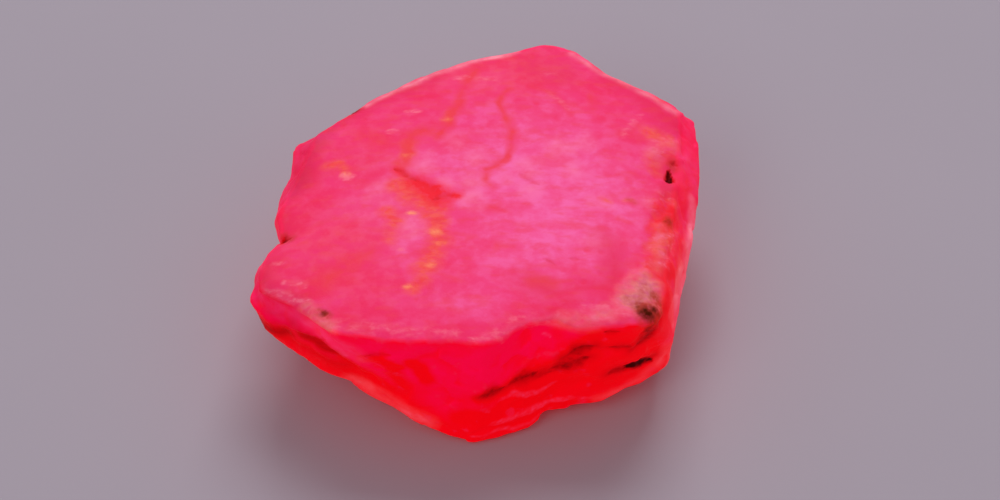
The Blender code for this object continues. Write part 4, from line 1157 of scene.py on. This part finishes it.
def stained_colour(tree, settings, skin, colour):
    """The skin's stains, healed cracks and crumbled band, then the pure reds and the painted rim highlight."""
    stained = coat(
        tree, settings.orange,
        (settings.rust, product(tree, skin.flecked, 0.8)),
        (settings.gash, product(tree, skin.scratched, 0.35)))
    crumbled = coat(
        tree, settings.rust,
        (settings.orange, skin.flecked),
        (settings.fleck, product(tree, skin.scratched, 0.6)))
    stain = product(tree, skin.stain, between(tree, skin.speckled, 0.7, 1.2))
    stain = torn_mask(tree, stain, skin.patchy, 0.0, 0.85, 0.6)
    vein = torn_mask(tree, skin.vein, skin.patchy, 0.0, 0.9, 0.7)
    mottled = torn_mask(tree, skin.mottled, skin.patchy, 0.0, 0.8, 0.6)
    gash = product(tree, skin.gash, between(tree, skin.speckled, 0.75, 1.15))
    outer = torn_mask(tree, skin.outer, skin.patchy, 0.0, 0.9, 0.5)
    return coat(
        tree, colour,
        (stained, product(tree, stain, 0.9)),
        (settings.rust, product(tree, vein, 0.8)),
        (crumbled, product(tree, mottled, between(tree, skin.speckled, 0.0, 0.8))),
        (settings.gash, torn_mask(tree, gash, skin.patchy, 0.0, 1.0, 0.6)),
        # painted rim highlight
        (settings.rim_highlight_tint, product(tree, outer, between(tree, skin.streaked, 0.4, 0.7))))


def marked_colour(tree, settings, skin, colour, marked):
    """The skin with its crust, small spots and grains, and the painted shade of its hollows and open cracks."""
    crusted = coat(
        tree, settings.chalk,
        (settings.fleck, product(tree, skin.scratched, 0.8)),
        (settings.brown, product(tree, skin.puffed, skin.speckled, 0.5)),
        (settings.rose, product(tree, skin.flecked, 0.35)))
    crust = torn_mask(tree, skin.crust, skin.patchy, 0.0, 0.9, 0.7)
    pale = product(tree, skin.pale, between(tree, skin.scratched, 0.5, 1.3))
    pale = torn_mask(tree, pale, skin.speckled, 0.1, 1.0, 0.35)
    cracked = lay(tree, settings.gash, settings.deep_red, marked.side)
    return coat(
        tree, colour,
        (crusted, product(tree, crust, 0.95)),
        (settings.yellow, torn_mask(tree, skin.yellow, skin.speckled, 0.0, 0.9, 0.5)),
        (settings.fleck, product(tree, pale, 0.75)),
        (settings.brown, product(tree, marked.brown, 0.85)),
        (settings.umber, marked.grain),
        # painted shade: deep red and maroon laid where the near side's shade lies
        (settings.deep_red, product(tree, skin.shade, 3.0)),
        (settings.maroon, skin.shade),
        # painted shade in the open cracks
        (cracked, product(tree, marked.crack, 2.5)),
        (settings.maroon, marked.crack))


def inner_glow(tree, settings, skin, marked):
    """Painted glow for light shone through the stone: full in the glow band, less where dark, thick or shaded.
    """
    fainter = [GLOW_OF_TOP * part for part in settings.glow]
    full = product(tree, marked.side, between(tree, marked.fresh, 0.7, 1.0))
    core = torn_mask(tree, skin.crust, skin.patchy, 0.3, 1.4, 0.5)
    return coat(
        tree, fainter,
        (settings.glow, full),
        (BLACK, product(tree, skin.blush, 0.12)),
        # Painted shade holds the painted glow back: dim places, deep reds, the near side's shade and cracks
        (BLACK, product(tree, skin.dim, 0.3)),
        (BLACK, product(tree, skin.deep, 0.04)),
        (BLACK, skin.shade),
        (BLACK, product(tree, core, 0.42)),
        (BLACK, product(tree, marked.brown, 0.35)),
        (BLACK, product(tree, marked.grain, 0.9)),
        (BLACK, marked.crack))


def ruby_material(settings, mask_names):
    """The stone's skin: colours laid over one another by its masks, a painted red glow, and a frosted gloss."""
    material = bpy.data.materials.new("rough ruby")
    material.use_nodes = True
    tree = material.node_tree
    tree.nodes.clear()
    skin = skin_parts(tree, mask_names)
    crack = product(tree, skin.crack, between(tree, skin.scratched, 0.75, 1.15))
    marked = SimpleNamespace(
        side=torn_mask(tree, skin.rim, skin.patchy, 0.49, 0.52, 0.03),
        fresh=torn_mask(tree, skin.fresh, skin.patchy, 0.2, 0.7, 0.5),
        brown=torn_mask(tree, skin.brown, skin.speckled, 0.0, 0.9, 0.4),
        grain=torn_mask(tree, skin.grain, skin.speckled, 0.05, 0.8, 0.25),
        crack=torn_mask(tree, crack, skin.speckled, 0.0, 0.75, 0.2))
    top = top_colour(tree, settings, skin)
    # The sides are redder than the top: partly the stone's red, partly painted shade for the light from above
    colour = lay(tree, top, side_colour(tree, settings, skin, top, marked.fresh), marked.side)
    colour = stained_colour(tree, settings, skin, colour)
    colour = marked_colour(tree, settings, skin, colour, marked)
    coarser = product(tree, skin.speckled, 0.6)
    height = put(tree, "ShaderNodeMath", {0: coarser, 1: skin.fine}, operation="ADD")
    bump = put(tree, "ShaderNodeBump", {"Strength": 0.5, "Distance": 0.00001, "Height": height.outputs[0]})
    gloss = put(tree, "ShaderNodeBsdfPrincipled", {
        "Base Color": colour,
        "Roughness": between(tree, skin.fine, settings.roughness - 0.08, settings.roughness + 0.12),
        "Normal": bump.outputs["Normal"],
        "IOR": 1.77,
        "Specular IOR Level": 0.01,
        "Subsurface Weight": 0.03,
        "Subsurface Radius": (1.0, 0.3, 0.4),
        "Subsurface Scale": 0.0004,
        # Painted glow, standing in for light shone through the stone
        "Emission Color": inner_glow(tree, settings, skin, marked),
        "Emission Strength": 1.0,
    })
    put(tree, "ShaderNodeOutputMaterial", {"Surface": gloss.outputs["BSDF"]})
    return material


def floor_material(settings):
    """A plain matt floor with a faint mottle."""
    material = bpy.data.materials.new("plain floor")
    material.use_nodes = True
    tree = material.node_tree
    tree.nodes.clear()
    places = put(tree, "ShaderNodeTexCoord").outputs["Object"]
    faint = mottle(tree, places, 0.02, 0.3, 0.7)
    colour = lay(tree, settings.floor_colour, [0.97 * part for part in settings.floor_colour], faint)
    skin = put(tree, "ShaderNodeBsdfPrincipled", {"Base Color": colour, "Roughness": 0.85})
    put(tree, "ShaderNodeOutputMaterial", {"Surface": skin.outputs["BSDF"]})
    return material


def soft_light(name, power, place, size, colour):
    """A square soft light at a place, turned to face the stone."""
    light = bpy.data.lights.new(name, "AREA")
    light.size = size
    light.energy = power
    light.color = colour
    lamp = bpy.data.objects.new(name, light)
    lamp.location = place
    lamp.rotation_euler = (AIM - Vector(place)).to_track_quat("-Z", "Y").to_euler()
    bpy.context.scene.collection.objects.link(lamp)


def floor_disc(radius):
    """A flat disc of rings and spokes, each ring's radius growing with the square of its number."""
    reach = np.linspace(0, 1, FLOOR_RINGS + 1)[1:] ** 2 * radius
    turn = np.arange(FLOOR_SPOKES) * 2 * np.pi / FLOOR_SPOKES
    flat = np.zeros((FLOOR_RINGS, FLOOR_SPOKES))
    disc = np.stack([np.outer(reach, np.cos(turn)), np.outer(reach, np.sin(turn)), flat], axis=-1)
    index = np.arange(FLOOR_RINGS * FLOOR_SPOKES).reshape(FLOOR_RINGS, FLOOR_SPOKES)
    after = np.roll(index, -1, axis=1)
    quads = np.stack([index[:-1], index[1:], after[1:], after[:-1]], axis=-1).reshape(-1, 4)
    fan = np.stack([index[0], after[0], np.full(FLOOR_SPOKES, FLOOR_RINGS * FLOOR_SPOKES)], axis=-1)
    return np.concatenate([disc.reshape(-1, 3), np.zeros((1, 3))]), quads.tolist() + fan.tolist()


class RUBY_OT_crystal(bpy.types.Operator):
    """Build the stone: the net with its coarse relief, then the fine skin, its masks and its material"""

    bl_idname = "ruby.crystal"
    bl_label = "Build Stone"

    def execute(self, context):
        settings = context.scene.ruby
        around, down, faces = stone_grid(settings.top_cells, (settings.side_rows,) * 3, settings.base_rows)
        points = soft_net(around, down)
        points += outward(points, faces) * skin_relief(points, down)[:, None]
        points += outward(points, faces) * fine_relief(points, down, settings)[:, None]
        points[:, 2] = np.maximum(points[:, 2], 0.0)
        masks = skin_masks(points, outward(points, faces), down, faces)
        points[:, :2] -= OUTLINE_MIDDLE
        low, high = np.array(STONE_LOW) / MM, np.array(STONE_HIGH) / MM
        points = np.clip(points, low, high)
        stone = mesh_object("rough_ruby", points * MM, faces, ruby_material(settings, masks))
        for name, values in masks.items():
            layer = stone.data.attributes.new(name, "FLOAT", "POINT")
            layer.data.foreach_set("value", values.astype(np.float32))
        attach(stone, "root")
        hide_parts(NODE)
        return {"FINISHED"}


class RUBY_OT_studio(bpy.types.Operator):
    """Set up the studio: a plain pale floor, soft lights, and the camera above and in front of the stone"""

    bl_idname = "ruby.studio"
    bl_label = "Set Up Studio"

    def execute(self, context):
        settings = context.scene.ruby_studio
        points, faces = floor_disc(settings.floor_radius)
        floor = mesh_object("floor", points, faces, floor_material(settings))
        soft_light("key light", settings.key_power, *KEY_LIGHT)
        soft_light("fill light", settings.fill_power, *FILL_LIGHT)
        world = bpy.data.worlds.new("soft surround")
        world.use_nodes = True
        surround = world.node_tree.nodes["Background"]
        surround.inputs["Color"].default_value = (*settings.sky_colour, 1.0)
        context.scene.world = world
        camera = bpy.data.objects.new("camera", bpy.data.cameras.new("camera"))
        camera.data.lens = settings.lens
        camera.data.clip_start = NEAREST_SEEN
        back = Vector((0.0, -np.cos(settings.camera_height), np.sin(settings.camera_height)))
        camera.location = AIM + back * settings.camera_distance
        camera.rotation_euler = (-back).to_track_quat("-Z", "Y").to_euler()
        context.scene.collection.objects.link(camera)
        context.scene.camera = camera
        context.scene.view_settings.view_transform = "Standard"
        return {"FINISHED"}


class RUBY_PT_panel(bpy.types.Panel):
    """The settings and buttons of the rough ruby"""

    bl_idname = "RUBY_PT_panel"
    bl_label = "Rough Ruby"
    bl_space_type = "VIEW_3D"
    bl_region_type = "UI"
    bl_category = "Rough Ruby"

    def draw(self, context):
        stone, studio = context.scene.ruby, context.scene.ruby_studio
        for settings, operator in ((stone, RUBY_OT_crystal), (studio, RUBY_OT_studio)):
            box = self.layout.box()
            for name in type(settings).__annotations__:
                box.prop(settings, name)
            box.operator(operator.bl_idname)


CLASSES = (RubySettings, StudioSettings, RUBY_OT_crystal, RUBY_OT_studio, RUBY_PT_panel)


def register():
    for made in CLASSES:
        bpy.utils.register_class(made)
    bpy.types.Scene.ruby = PointerProperty(type=RubySettings)
    bpy.types.Scene.ruby_studio = PointerProperty(type=StudioSettings)


def unregister():
    del bpy.types.Scene.ruby_studio
    del bpy.types.Scene.ruby
    for made in reversed(CLASSES):
        bpy.utils.unregister_class(made)


def main():
    register()
    bpy.ops.ruby.crystal()
    bpy.ops.ruby.studio()


if __name__ == "__main__":
    main()
